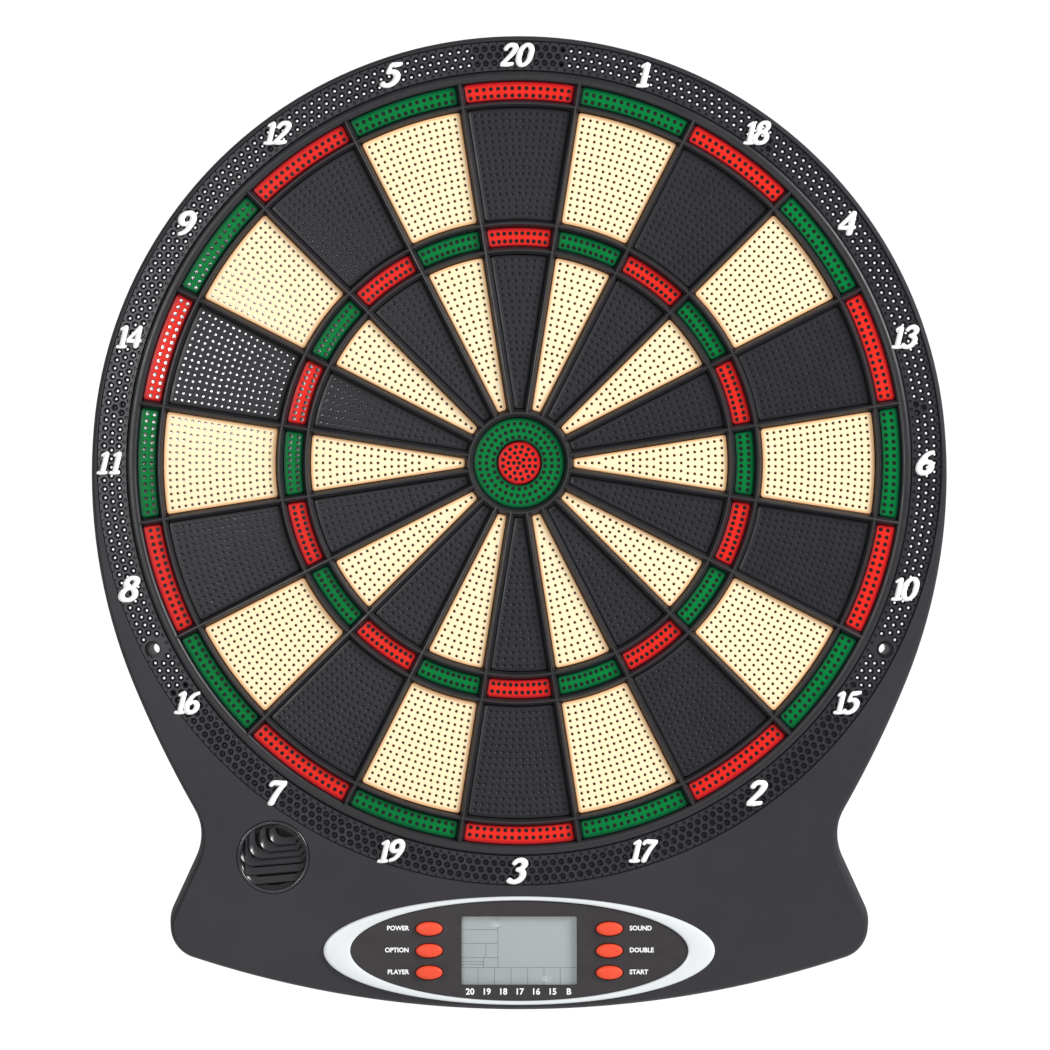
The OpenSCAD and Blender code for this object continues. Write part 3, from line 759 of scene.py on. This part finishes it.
# %% Repeat the columns around the band
BAND_PLAN = [
    (-33.6, 4, "through"), (-28.8, 3, "screw"), (-25.2, 91, "through"), (84.0, 10, "blind"),
    (96.0, 91, "through"), (205.2, 3, "screw"), (208.8, 4, "through"), (213.6, 94, "blind"),
]
band = bmesh.new()
for start, count, kind in BAND_PLAN:
    part = catch_column(3, True, True) if kind == "screw" else catch_column(1, kind == "through")
    turn_by(part, math.radians(start) + HALF)
    if kind != "screw":
        bmesh.ops.spin(
            part, geom=[*part.verts, *part.edges, *part.faces], cent=(0, 0, 0), axis=UPRIGHT,
            angle=COLUMN * (count - 1), steps=count - 1, use_duplicate=True,
        )
    absorb(band, part)
bmesh.ops.remove_doubles(band, verts=band.verts, dist=0.01)


def rim_loop(bm, radius, height):
    """Open edges that run round the band at a given radius and height."""
    return [
        e for e in bm.edges
        if len(e.link_faces) == 1 and all(
            abs(math.hypot(v.co.x, v.co.y) - radius) < 0.02 and abs(v.co.z - height) < 0.02 for v in e.verts
        )
    ]


def ring_of(bm, radius, height):
    return oval_loop(bm, radius, radius, height, count=300)


for edge_r, wall_r in ((ZIGZAG[0][0], CATCH[0]), (ZIGZAG[-1][0], CATCH[1])):
    stack(band, [
        rim_loop(band, edge_r, CATCH_H), ring_of(band, wall_r, CATCH_H - 0.3),
        ring_of(band, wall_r, CATCH_BACK_H + 0.05), rim_loop(band, edge_r, CATCH_BACK_H),
    ])
close_up(band)
print("honeycomb faces:", len(band.faces), "open edges:", sum(len(e.link_faces) != 2 for e in band.edges))

# %% Posts, screw bosses and the tub wall behind the band
EAR_R, EARS = 182.6, (8, 52, 128, 172, 232, 308)
POST_R = 3.2
SEAT_R = 173.5
TUB_R = (176.7, 178.7)


def square_ring(r_in, r_out, low, high):
    return [(r_in, low), (r_out, low), (r_out, high), (r_in, high)]


def tube_at(x, y, profile, steps=40):
    return turned(profile, steps=steps, centre=(x, y))


def post(x, y, radius, low, high, hole=1.35, depth=12.0):
    """A round screw post with a blind hole in its rear end."""
    bm = bmesh.new()
    outer = [oval_loop(bm, radius, radius, h, (x, y), 32) for h in (low, high)]
    inner = [oval_loop(bm, hole, hole, h, (x, y), 32) for h in (low, low + depth)]
    for loops in (outer, inner):
        bridge(bm, *loops)
        fill(bm, loops[1])
    bridge(bm, outer[0], inner[0])
    close_up(bm)
    return bm


for angle in EARS:
    absorb(band, post(*polar(EAR_R, math.radians(angle))[:2], POST_R, COVER_T, CATCH_BACK_H + 0.1))
for angle in (-SCREW_ANGLE, 180 + SCREW_ANGLE):
    x, y, _ = polar(SCREW_R, math.radians(angle))
    boss = [(2.4, 0), (4.9, 0), (4.9, 26.3), (HEAD_R, 26.3), (HEAD_R, 24.4), (2.4, 24.4)]
    absorb(band, tube_at(x, y, boss))
tub_low, tub_high = TUB_R
seat_r = tub_low + 0.05
absorb(band, turned([
    (SEAT_R, SEGMENT_BACK_H), (tub_high, SEGMENT_BACK_H), (tub_high, CATCH_BACK_H + 0.1),
    (seat_r, CATCH_BACK_H + 0.1), (seat_r, BAR_BACK_H - 0.05), (SEAT_R, BAR_BACK_H - 0.05),
]))
absorb(band, turned(
    square_ring(*TUB_R, COVER_T, SEGMENT_BACK_H + 0.1),
    steps=160, angle=math.radians(246), start=math.radians(-33),
))
make_piece("catch_band", band, ["catch_black"], "board", ["catch_ring"], crease=40)

# %% [markdown]
# ## Numerals
# The numbers are raised white figures in a bold slanted brush style. Each figure is drawn as a few
# brush strokes on a square of 100 units: a curve with round section whose radius swells and thins
# along the way, as a brush does. Flattening the strokes turns them into figures with soft edges.

# %% Brush strokes of the ten figures
BOWL = [(58, 93, 8), (38, 84, 10), (21, 58, 12), (15, 32, 13), (23, 10, 11),
        (40, 4, 10), (59, 17, 13), (59, 40, 12), (44, 51, 9), (25, 42, 7)]
FIGURES = {
    "0": [[(42, 97, 9), (62, 82, 12), (66, 50, 13), (60, 20, 12),
           (38, 3, 9), (19, 18, 12), (14, 50, 13), (21, 82, 12), None]],
    "1": [[(26, 84, 7), (36, 89, 9), (47, 95, 9)], [(46, 92, 12), (46, 50, 12), (46, 8, 12)],
          [(24, 4, 7), (44, 4, 9), (66, 4, 7)]],
    "2": [[(17, 76, 11), (25, 90, 11), (43, 96, 10), (61, 86, 13), (58, 66, 13), (38, 36, 11), (15, 9, 9)],
          [(14, 6, 9), (40, 6, 10), (66, 9, 8)]],
    "3": [[(18, 82, 10), (32, 95, 10), (52, 93, 11), (61, 78, 13), (52, 63, 10), (34, 56, 7)],
          [(36, 56, 7), (56, 50, 11), (63, 31, 13), (52, 11, 12), (30, 4, 9), (12, 12, 11)]],
    "4": [[(54, 95, 9), (32, 62, 9), (10, 34, 8)], [(10, 30, 8), (40, 30, 9), (70, 31, 8)],
          [(54, 94, 11), (54, 50, 12), (54, 4, 12)]],
    "5": [[(30, 92, 9), (48, 92, 11), (68, 96, 8)], [(30, 92, 8), (26, 75, 8), (22, 57, 7)],
          [(22, 57, 7), (42, 62, 10), (60, 49, 13), (60, 26, 13), (44, 8, 11), (24, 4, 9), (10, 12, 11)]],
    "6": [BOWL],
    "7": [[(14, 82, 9), (20, 92, 10), (42, 92, 11), (70, 92, 9)],
          [(68, 90, 9), (50, 62, 11), (38, 32, 12), (30, 4, 13)]],
    "8": [[(42, 97, 9), (60, 86, 12), (56, 66, 11), (40, 54, 9), (23, 66, 12), (23, 86, 11), None],
          [(40, 54, 8), (62, 38, 12), (62, 15, 12), (38, 3, 9), (15, 15, 12), (16, 38, 12), None]],
    "9": [[(78 - x, 100 - y, w) for x, y, w in BOWL]],
}
ADVANCE, ADVANCE_OF_ONE = 73, 57
BRUSH_WIDTH = 1.06


def as_bmesh(curve):
    """Turns a curve or a text into a bmesh and drops the curve."""
    holder = add_object("scratch", curve)
    evaluated = holder.evaluated_get(bpy.context.evaluated_depsgraph_get())
    mesh = bpy.data.meshes.new_from_object(evaluated)
    bm = bmesh.new()
    bm.from_mesh(mesh)
    bpy.data.objects.remove(holder)
    bpy.data.curves.remove(curve)
    bpy.data.meshes.remove(mesh)
    return bm


def run_out(tip, inner):
    """A thinner point just past the tip of a stroke, where the brush leaves the surface."""
    away = Vector((tip[0] - inner[0], tip[1] - inner[1])).normalized() * tip[2] * 0.55
    return (tip[0] + away.x, tip[1] + away.y, tip[2] * 0.6)


def brush(strokes, shift, unit):
    """Strokes of (x, y, half width) points as tubes. None at the end closes a stroke."""
    curve = bpy.data.curves.new("brush", "CURVE")
    curve.dimensions = "3D"
    curve.bevel_depth = 1
    curve.bevel_resolution = 2
    curve.resolution_u = 4
    curve.use_fill_caps = True
    for stroke in strokes:
        closed = stroke[-1] is None
        points = stroke[:-1] if closed else stroke
        if not closed:
            points = [run_out(points[0], points[1]), *points, run_out(points[-1], points[-2])]
        spline = curve.splines.new("BEZIER")
        spline.bezier_points.add(len(points) - 1)
        spline.use_cyclic_u = closed
        for knot, (x, y, w) in zip(spline.bezier_points, points):
            knot.co = ((x + shift) * unit, y * unit, 0)
            knot.radius = w * unit * BRUSH_WIDTH
            knot.handle_left_type = knot.handle_right_type = "AUTO"
    bm = as_bmesh(curve)
    close_up(bm)
    return bm


# %% Numbers around the band
NUMERAL_R, NUMERAL_TALL = 183.5, 10.6
NUMERAL_FLATTEN, NUMERAL_LIFT, NUMERAL_SHIFT = 0.62, 0.85, -0.9
LONE_FIGURE, PAIRED_FIGURE = (1.08, 1.0), (0.92, 0.92)
SLANT = 0.24


def numeral(words, spot):
    """One number, centred on a spot of the band by its bounding box."""
    unit = NUMERAL_TALL / 100
    bm = bmesh.new()
    pen = 0.0
    for figure in words:
        absorb(bm, brush(FIGURES[figure], pen, unit))
        pen += ADVANCE_OF_ONE if figure == "1" else ADVANCE
    wide, tall = LONE_FIGURE if len(words) == 1 else PAIRED_FIGURE
    bmesh.ops.scale(bm, verts=bm.verts, vec=(wide, tall, NUMERAL_FLATTEN))
    slant = Matrix(((1, SLANT, 0), (0, 1, 0), (0, 0, 1)))
    bmesh.ops.transform(bm, matrix=slant.to_4x4(), verts=bm.verts)
    spans = [[v.co[axis] for v in bm.verts] for axis in (0, 1)]
    middle = Vector([(min(span) + max(span)) / 2 for span in spans] + [0])
    place = Vector((spot[0] + NUMERAL_SHIFT, spot[1], CATCH_H + NUMERAL_LIFT))
    bmesh.ops.translate(bm, verts=bm.verts, vec=place - middle)
    return bm


for i, number in enumerate(NUMBERS):
    spot = polar(NUMERAL_R, math.pi / 2 - i * PITCH)[:2]
    figures = numeral(str(number), spot)
    make_piece(f"numeral_{number}", figures, ["number_white"], "board", crease=60)
print("numerals are", NUMERAL_TALL, "mm tall")

# %% [markdown]
# ## The casing
# The casing's outline is a chain of arcs that touch each other: a round top, two long shoulders,
# a hollow waist and rounded feet. One vertex is spun round each arc's centre in turn, which draws
# the right-hand half exactly, and a mirror adds the left. Drawing the same chain further in at
# other heights gives the flat face, the crease and the slanting flank.

# %% Casing outline
SHOULDER_R, SIDE_R, WAIST_R, FOOT_R, BOTTOM_R = 250.0, 500.0, 24.5, 17.0, 474.0
BOTTOM_MID = Vector((0, 225.3))
FOOT_X = 142.6
turn = [math.radians(a) for a in (90, 5, -22.3, -29.6)]


def heading(angle):
    return Vector((math.cos(angle), math.sin(angle)))


shoulder_mid = (CASING_R - SHOULDER_R) * heading(turn[1])
side_mid = shoulder_mid + (SHOULDER_R - SIDE_R) * heading(turn[2])
waist_mid = side_mid + (SIDE_R + WAIST_R) * heading(turn[3])
foot_mid = Vector((FOOT_X, BOTTOM_MID.y - math.sqrt((BOTTOM_R - FOOT_R) ** 2 - FOOT_X**2)))
to_waist = waist_mid - foot_mid
foot_start = math.atan2(to_waist.y, to_waist.x) - math.acos((WAIST_R + FOOT_R) / to_waist.length)
foot_end = math.atan2(foot_mid.y - BOTTOM_MID.y, foot_mid.x)
ARCS = [
    (Vector((0, 0)), CASING_R, -1, turn[0], turn[1], 48),
    (shoulder_mid, SHOULDER_R, -1, turn[1], turn[2], 16),
    (side_mid, SIDE_R, -1, turn[2], turn[3], 8),
    (waist_mid, WAIST_R, 1, math.pi + turn[3], math.pi + foot_start, 14),
    (foot_mid, FOOT_R, -1, foot_start, foot_end, 16),
    (BOTTOM_MID, BOTTOM_R, -1, foot_end, -math.pi / 2, 20),
]


def casing_loop(bm, inset, z):
    """The casing's outline, moved inwards by inset, as a closed loop at height z."""
    known = set(bm.verts)
    tip = bm.verts.new((0, CASING_R - inset, z))
    for middle, radius, side, start, end, steps in ARCS:
        begin = Vector((*(middle + (radius + inset * side) * heading(start)), z))
        if (begin - tip.co).length > 0.01:
            tip = draw_on(bm, tip, begin)
        tip = swing(bm, tip, (*middle, z), end - start, steps)
    half = [v for v in bm.verts if v not in known]
    bmesh.ops.mirror(bm, geom=half + edges_at(half), matrix=Matrix.Identity(4), merge_dist=0.001, axis="X")
    return edges_at(v for v in bm.verts if v not in known)


# %% Casing body
SKIRT = (84.2, 23.8)
SPEAKER = (-110.8, -177.3)
GRILLE_R = 16.3
FACE_BACK_H = FACE_H - 2.4
casing = bmesh.new()
OUTSIDE_WALL = [
    (0.35, 0), (0.0, 0.5), (2.35, 24.6), (2.5, 25.9),
    (2.85, 27.3), (3.35, 28.6), (3.75, 29.4), (4.3, FACE_H),
]
INSIDE_WALL = [(4.75, FACE_BACK_H), (4.75, 24), (2.4, COVER_T + 0.2), (2.4, 0)]
outside, inside = [[casing_loop(casing, *step) for step in wall] for wall in (OUTSIDE_WALL, INSIDE_WALL)]
stack(casing, outside)
stack(casing, inside)
fill(casing, inside[-1] + outside[0])


def face_holes(z, grow=0.0):
    mouth_r = CATCH[1] + 0.2 + grow * 0.8
    return [
        oval_loop(casing, mouth_r, mouth_r, z, count=240),
        oval_loop(casing, SKIRT[0] + grow, SKIRT[1] + grow, z, (0, CONSOLE_Z)),
        oval_loop(casing, GRILLE_R + grow, GRILLE_R + grow, z, SPEAKER, 64),
    ]


front, edge_ring, rear = face_holes(FACE_H, 0.4), face_holes(FACE_H - 0.4), face_holes(FACE_BACK_H)
for hole in zip(front, edge_ring, rear):
    stack(casing, hole)
fill(casing, outside[-1] + [e for loop in front for e in loop])
fill(casing, inside[0] + [e for loop in rear for e in loop])
close_up(casing)
print("casing open edges:", sum(len(e.link_faces) != 2 for e in casing.edges))

# %% Ledge, speaker collar and screw posts inside the casing
LEDGE_R, COLLAR_R = (188.2, 191), (17.8, 19.2)
POST_SPOTS = [(141, -207), (102, -226), (122, -152), (-141, -207), (-102, -226)]
root_h, seat_r = FACE_BACK_H + 0.1, CATCH[1] + 0.25
absorb(casing, turned([
    (LEDGE_R[0], CATCH_BACK_H - 2), (LEDGE_R[1], CATCH_BACK_H - 2), (LEDGE_R[1], root_h),
    (seat_r, root_h), (seat_r, CATCH_BACK_H), (LEDGE_R[0], CATCH_BACK_H),
], steps=240))
absorb(casing, tube_at(*SPEAKER, square_ring(*COLLAR_R, 20, root_h), 64))
for x, y in POST_SPOTS:
    absorb(casing, post(x, y, POST_R, COVER_T, root_h))
make_piece("casing_shell", casing, ["casing_grey"], "board", ["front_casing"], crease=30)

# %% [markdown]
# ## The scoring console
# A silver oval frames a black panel with a liquid crystal window and six soft red buttons. The
# silver frame is thick at its ends and thin above and below, because its inner oval is shorter
# than its outer one. All of it is stacked ovals, bridged from one to the next.

# %% Silver frame
HERE = (0, CONSOLE_Z)


def oval_stack(bm, steps, centre=HERE, count=128):
    """Bridges ovals given as (half width, half height, height)."""
    loops = [oval_loop(bm, a, b, h, centre, count) for a, b, h in steps]
    stack(bm, loops)
    return loops


frame_bm = bmesh.new()
outer = oval_stack(frame_bm, [
    (84, 23.6, FACE_BACK_H), (84, 23.6, FACE_H + 0.02), (87.9, 24.35, FACE_H + 0.02),
    (88, 24.4, FACE_H + 0.25), (87.9, 24.3, FACE_H + 0.85), (87.3, 24.1, FACE_H + 1.3),
    (86.3, 23.85, BEZEL_H),
])
inner = oval_stack(frame_bm, [
    (76, 22.6, FACE_BACK_H), (76, 22.6, FACE_H + 0.7), (76.15, 22.68, FACE_H + 1.1),
    (76.7, 22.85, FACE_H + 1.35), (77.6, 23.05, BEZEL_H),
])
bridge(frame_bm, outer[0], inner[0])
bridge(frame_bm, outer[-1], inner[-1])
close_up(frame_bm)
make_piece("silver_frame", frame_bm, ["silver"], "board", ["console_bezel"], crease=40)

# %% Black panel with its openings
WINDOW = (51.8, 30.7)
BUTTON_X, BUTTON_PITCH = 40.5, 9.85
BUTTON_HOLE = (6.35, 3.4)
BUTTON_SPOTS = [(side * BUTTON_X, CONSOLE_Z + row * BUTTON_PITCH) for side in (-1, 1) for row in (1, 0, -1)]


def box_loop(bm, width, height, z, centre=HERE):
    """A rectangle of four edges."""
    place = Matrix.Translation((*centre, z)) @ Matrix.Diagonal((width, height, 1, 1))
    verts = bmesh.ops.create_grid(bm, x_segments=1, y_segments=1, size=0.5, matrix=place)["verts"]
    face = verts[0].link_faces[0]
    edges = list(face.edges)
    bmesh.ops.delete(bm, geom=[face], context="FACES_ONLY")
    return edges


panel = bmesh.new()


def panel_holes(z, grow=0.0):
    window_hole = box_loop(panel, WINDOW[0] + 0.2 + grow, WINDOW[1] + 0.2 + grow, z)
    return [window_hole] + [
        oval_loop(panel, BUTTON_HOLE[0] + grow / 2, BUTTON_HOLE[1] + grow / 2, z, spot, 40)
        for spot in BUTTON_SPOTS
    ]


shell = oval_stack(panel, [
    (87, 24.4, 26.1), (87, 24.4, FACE_BACK_H), (75.8, 22.4, FACE_BACK_H), (75.8, 22.4, PANEL_H - 0.25),
    (75.5, 22.15, PANEL_H),
])
PANEL_BACK_H = PANEL_H - 2
under = oval_stack(panel, [(73.8, 20.4, 26.1), (73.8, 20.4, PANEL_BACK_H)])
bridge(panel, shell[0], under[0])
tops, bevels, bottoms = panel_holes(PANEL_H, 0.4), panel_holes(PANEL_H - 0.2), panel_holes(PANEL_BACK_H)
for hole in zip(tops, bevels, bottoms):
    stack(panel, hole)
fill(panel, shell[-1] + [e for loop in tops for e in loop])
fill(panel, under[-1] + [e for loop in bottoms for e in loop])
close_up(panel)
for x in (-50, 50):
    for y in (-13.6, 13.6):
        absorb(panel, post(x, CONSOLE_Z + y, 2.4, 22.4, PANEL_BACK_H + 0.1, 1.05, 4.8))
make_piece("panel_face", panel, ["panel_black"], "board", ["console_panel"], crease=30)

# %% Crowned buttons
BUTTON_NODES = ["power", "option", "player", "sound", "double", "start"]
CROWN = [
    (1.6, 1.6, 25.0), (1.6, 1.6, 26.9), (7.4, 4.25, 26.9), (7.4, 4.25, 28.1),
    (6, 3.05, 28.1), (6, 3.05, 30.9), (5.86, 2.95, 31.35), (5.45, 2.66, 31.68),
    (4.6, 2.2, 31.9), (3.2, 1.5, 32.02), (1.4, 0.7, 32.08),
]
for name, spot in zip(BUTTON_NODES, BUTTON_SPOTS):
    bm = bmesh.new()
    loops = oval_stack(bm, CROWN, spot, 48)
    fill(bm, loops[0])
    fill(bm, loops[-1])
    close_up(bm)
    make_piece(f"key_{name}", bm, ["button_red"], f"key_{name}",
               [f"button_{name}"], crease=45)

# %% [markdown]
# ## The display
# An idle liquid crystal shows the faint outlines of its segment fields. They are strips a few
# hundredths of a millimetre proud of the glass, under a clear window.

# %% Display glass and its faint grid


def bar(bm, x0, x1, y0, y1, low, high, bevel=0.0):
    """A straight strip between two corners."""
    place = Matrix.Translation(((x0 + x1) / 2, (y0 + y1) / 2, (low + high) / 2))
    size = Matrix.Diagonal((x1 - x0, y1 - y0, high - low, 1))
    made = bmesh.ops.create_cube(bm, size=1, matrix=place @ size)
    if bevel:
        soften(bm, edges_at(made["verts"]), bevel)


glass = bmesh.new()
bar(glass, -28, 28, CONSOLE_Z - 17, CONSOLE_Z + 17, back_of("lcd_module"), LCD_H, 0.15)
make_piece("display_glass", glass, ["lcd_grey"], "board", ["lcd_module"])

GRID = [
    (0.315, 0.315, 0, 0.755), (0, 0.315, 0.2, 0.2), (0, 0.315, 0.4, 0.4), (0.21, 0.21, 0.4, 0.61),
    (0, 0.315, 0.61, 0.61), (0.19, 0.19, 0.61, 0.755), (0, 0.19, 0.67, 0.67), (0, 0.19, 0.71, 0.71),
    (0, 1, 0.755, 0.755),
] + [(k / 7, k / 7, 0.755, 1) for k in range(1, 7)]
LINE_HALF = 0.15
lines = bmesh.new()
left, top = -WINDOW[0] / 2, CONSOLE_Z + WINDOW[1] / 2
for u0, u1, v0, v1 in GRID:
    bar(lines, left + u0 * WINDOW[0] - LINE_HALF, left + u1 * WINDOW[0] + LINE_HALF,
        top - v1 * WINDOW[1] - LINE_HALF, top - v0 * WINDOW[1] + LINE_HALF, LCD_H - 0.02, LCD_H + 0.03)
make_piece("display_grid", lines, ["lcd_line"], "board")

# %% Clear window
FINISH["clear_window"], clear_tree, clear_shader = nodes_for("clear_window")
preset(clear_shader, Base_Color=(0.75, 0.8, 0.8, 1), Alpha=0.10)
clear_gloss = spread(clear_tree, noise(clear_tree, 60.0), 0.05, 0.09)
clear_tree.links.new(clear_gloss, clear_shader.inputs["Roughness"])
window = bmesh.new()
bar(window, -WINDOW[0] / 2, WINDOW[0] / 2, CONSOLE_Z - WINDOW[1] / 2, CONSOLE_Z + WINDOW[1] / 2,
    LENS_H - 1.7, LENS_H, 0.12)
make_piece("display_window", window, ["clear_window"], "board", ["lcd_lens"])

# %% Printed legends
LEGENDS = ["POWER", "OPTION", "PLAYER", "SOUND", "DOUBLE", "START"]
LEGEND_H = PANEL_H + 0.02
LEGEND_X = 49.6
FIELD_LEGEND_X, FIELD_PITCH = -22.1, 7.4
legends = bmesh.new()


def text_mesh(words, size, centre, bold, align="CENTER"):
    """Flat text set in the built-in font, as a bmesh just in front of the panel."""
    curve = bpy.data.curves.new("legend", "FONT")
    curve.body = words
    curve.size = size
    curve.offset = bold
    curve.extrude = 0.02
    curve.resolution_u = 3
    curve.align_x = align
    curve.align_y = "CENTER"
    bm = as_bmesh(curve)
    bmesh.ops.translate(bm, verts=bm.verts, vec=(*centre, LEGEND_H))
    bmesh.ops.remove_doubles(bm, verts=bm.verts, dist=0.002)
    bmesh.ops.dissolve_degenerate(bm, dist=0.002, edges=bm.edges)
    close_up(bm)
    return bm


for words, (x, y) in zip(LEGENDS, BUTTON_SPOTS):
    out = math.copysign(LEGEND_X, x)
    absorb(legends, text_mesh(words, 2.85, (out, y + 0.2), 0.09, "RIGHT" if x < 0 else "LEFT"))
for k, words in enumerate(("20", "19", "18", "17", "16", "15", "B")):
    absorb(legends, text_mesh(words, 3.9, (FIELD_LEGEND_X + FIELD_PITCH * k, CONSOLE_Z - 18.5), 0.10))
make_piece("panel_legends", legends, ["number_white"], "board", crease=60)
print("console stands", round(BEZEL_H, 1), "mm from the wall")

# %% [markdown]
# ## The speaker grille
# Behind a round rim lie curved louvres like the ribs of a shell. Each one runs down from the
# rim, turns through a rounded corner and runs off to the right. The path is one vertex spun
# through the corner and extruded straight at both ends, and pulling the whole path sideways
# and forward makes a tilted slat that catches the light along its lower edge.

# %% Grille rim and louvres


REACH = 15.2
SLOPE, LOUVRE_H, LOUVRE_T = math.radians(5), 27.2, 0.7
SLAT_STEP = Vector((-1.209, -1.521))
SLAT_RISES = (0.35, 1.25)
LOUVRES = [
    ((1.0, 8.6), 4.5), ((-3.4, 5.6), 5.0), ((-8.2, 2.4), 6.0), ((-12.4, -0.9), 6.0), ((-12.6, -5.0), 5.0),
    ((-9.8, -9.2), 4.0),
]


def louvre(corner, bend):
    """A slat whose path turns at corner, measured from the middle of the grille."""
    bm = bmesh.new()
    cx, cy = corner
    tip = bm.verts.new((cx, cy + bend, LOUVRE_H))
    end = swing(bm, tip, (cx + bend, cy + bend, LOUVRE_H), math.pi / 2 - SLOPE, 10)
    top = math.sqrt(REACH**2 - cx**2)
    if top > tip.co.y:
        draw_on(bm, tip, (cx, top, LOUVRE_H))
    rise = math.tan(SLOPE)
    right = end.co.x
    while math.hypot(right, end.co.y + (right - end.co.x) * rise) < REACH:
        right += 0.2
    draw_on(bm, end, (right, end.co.y + (right - end.co.x) * rise, LOUVRE_H))
    lip = list(bm.edges)
    for height in SLAT_RISES:
        slat = bmesh.ops.extrude_edge_only(bm, edges=lip)
        new = verts_of(slat)
        bmesh.ops.translate(bm, verts=new, vec=(*SLAT_STEP, height))
        lip = inner_edges(edges_of(slat), set(new))
    bmesh.ops.solidify(bm, geom=list(bm.faces), thickness=LOUVRE_T)
    for v in bm.verts:
        if math.hypot(v.co.x, v.co.y) > REACH:
            v.co.xy = v.co.xy.normalized() * REACH
    bmesh.ops.recalc_face_normals(bm, faces=bm.faces)
    bmesh.ops.translate(bm, verts=bm.verts, vec=(*SPEAKER, 0))
    return bm


grille = tube_at(*SPEAKER, [
    (14.7, 26.5), (17.6, 26.5), (17.6, FACE_BACK_H - 0.05), (16.15, FACE_BACK_H - 0.05),
    (16.15, FACE_H - 0.1), (15.95, FACE_H + 0.1), (15.4, FACE_H + 0.15), (15.0, FACE_H - 0.1),
    (14.7, FACE_H - 0.7),
], 96)
for corner, bend in LOUVRES:
    absorb(grille, louvre(corner, bend))
make_piece("grille_louvres", grille, ["grille_black"], "board", ["speaker_grille"], crease=40)

# %% [markdown]
# ## The back and the inside
# The rear cover, the battery door and what lies inside are right as the design gives them, so
# they keep their shape and only take a finish. Each finish is made once and shared.

# %% Finishes for the parts that keep their shape
def dress(finish, *nodes):
    for node in nodes:
        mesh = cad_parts[node].data
        mesh.materials.clear()
        mesh.materials.append(FINISH[finish])


METAL_GRAIN, METAL_BUMP = 700, 0.08


def metal(name, colour, roughness):
    """Plated or bare metal with a faint grain."""
    material, tree, shader = nodes_for(name)
    preset(shader, Metallic=1.0)
    darker = tuple(c * 0.85 for c in colour)
    cloudy = mixed(tree, spread(tree, noise(tree, 120.0), 0.0, 1.0), colour, darker)
    tree.links.new(cloudy, shader.inputs["Base Color"])
    tree.links.new(spread(tree, noise(tree, 300.0), *roughness), shader.inputs["Roughness"])
    grain_bump(tree, shader, METAL_GRAIN, METAL_BUMP)
    return material


FINISH["steel"] = metal("steel", (0.55, 0.55, 0.57), (0.25, 0.4))
FINISH["nickel"] = metal("nickel", (0.66, 0.64, 0.60), (0.18, 0.3))
dress("cover_black", "rear_cover", "battery_door", "speaker_clamp", "backing_plate")
dress("steel", "case_screws", "spider_screws", "board_screws", "speaker_screws")
dress("nickel", "battery_contacts")
dress("basket_black", "speaker_basket")
dress("foam_grey", "cushion_sheet")
dress("printed_film", "matrix_bottom_film", "matrix_top_film", "matrix_spacer")
dress("ribbon_cable", "flat_cables")
dress("mat_grey", "keypad_mat", "zebra_strips")
dress("board_green", "main_board")
dress("resin_black", "board_parts")
dress("paper_cone", "speaker_cone")
dress("ferrite", "speaker_magnet")
dress("lead_red", "speaker_leads")
dress("cell_wrap", "batteries")
print("dressed", len(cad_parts), "nodes of the frame")

# %% [markdown]
# ## Camera, light and stage
# The camera looks straight at the board from 1.75 m, level with the middle of the object. One
# large soft light stands high on the right and a weaker one fills from the left. A small lamp
# beside the camera is mirrored in the flat floors of the wells on the left. The world is white
# to the camera, so the board floats on white, but gives only a gentle light.

# %% Camera
VIEW_W, DISTANCE = 0.4725, 1.75
cam_data = bpy.data.cameras.new("camera")
camera = add_object("camera", cam_data)
camera.location = (0.0026, -SEGMENT_H / MM - DISTANCE, -0.0279)
camera.rotation_euler = (math.radians(90), 0, 0)
cam_data.sensor_width = 36
cam_data.lens = 36 * DISTANCE / VIEW_W
bpy.context.scene.camera = camera

# %% World and lights
WHITE = (1, 1, 1, 1)
world = bpy.data.worlds.new("studio")
bpy.context.scene.world = world
world.use_nodes = True
sky = world.node_tree
dim = sky.nodes["Background"]
preset(dim, Color=WHITE, Strength=0.30)
bright = sky.nodes.new("ShaderNodeBackground")
preset(bright, Color=WHITE, Strength=1.05)
seen = sky.nodes.new("ShaderNodeLightPath")
choice = sky.nodes.new("ShaderNodeMixShader")
sky.links.new(seen.outputs["Is Camera Ray"], choice.inputs["Fac"])
sky.links.new(dim.outputs[0], choice.inputs[1])
sky.links.new(bright.outputs[0], choice.inputs[2])
sky.links.new(choice.outputs[0], sky.nodes["World Output"].inputs["Surface"])


AIM = Vector((0, 0, -0.03))


def softbox(name, place, side, watts):
    """A square soft light turned towards the middle of the object."""
    data = bpy.data.lights.new(name, "AREA")
    data.shape = "RECTANGLE"
    data.size = data.size_y = side
    data.energy = watts
    lamp = add_object(name, data)
    lamp.location = place
    lamp.rotation_euler = (AIM - Vector(place)).to_track_quat("-Z", "Y").to_euler()


softbox("key", (1.7, -1.0, 0.9), 0.8, 50)
softbox("fill", (-1.0, -1.9, 0.25), 0.30, 14)
softbox("lamp", (-0.28, -DISTANCE, 0.115), 0.08, 1.1)
bpy.context.scene.view_settings.view_transform = "Standard"

# %% Pale floor
FLOOR_Z = -0.75
floor = bmesh.new()
sunk = Matrix.Translation((0, 0, FLOOR_Z))
bmesh.ops.create_grid(floor, x_segments=4, y_segments=4, size=3.0, matrix=sunk)
floor_mesh = bpy.data.meshes.new("floor")
floor.to_mesh(floor_mesh)
floor.free()
floor_mesh.materials.append(FINISH["floor_white"])
ground = add_object("floor", floor_mesh)
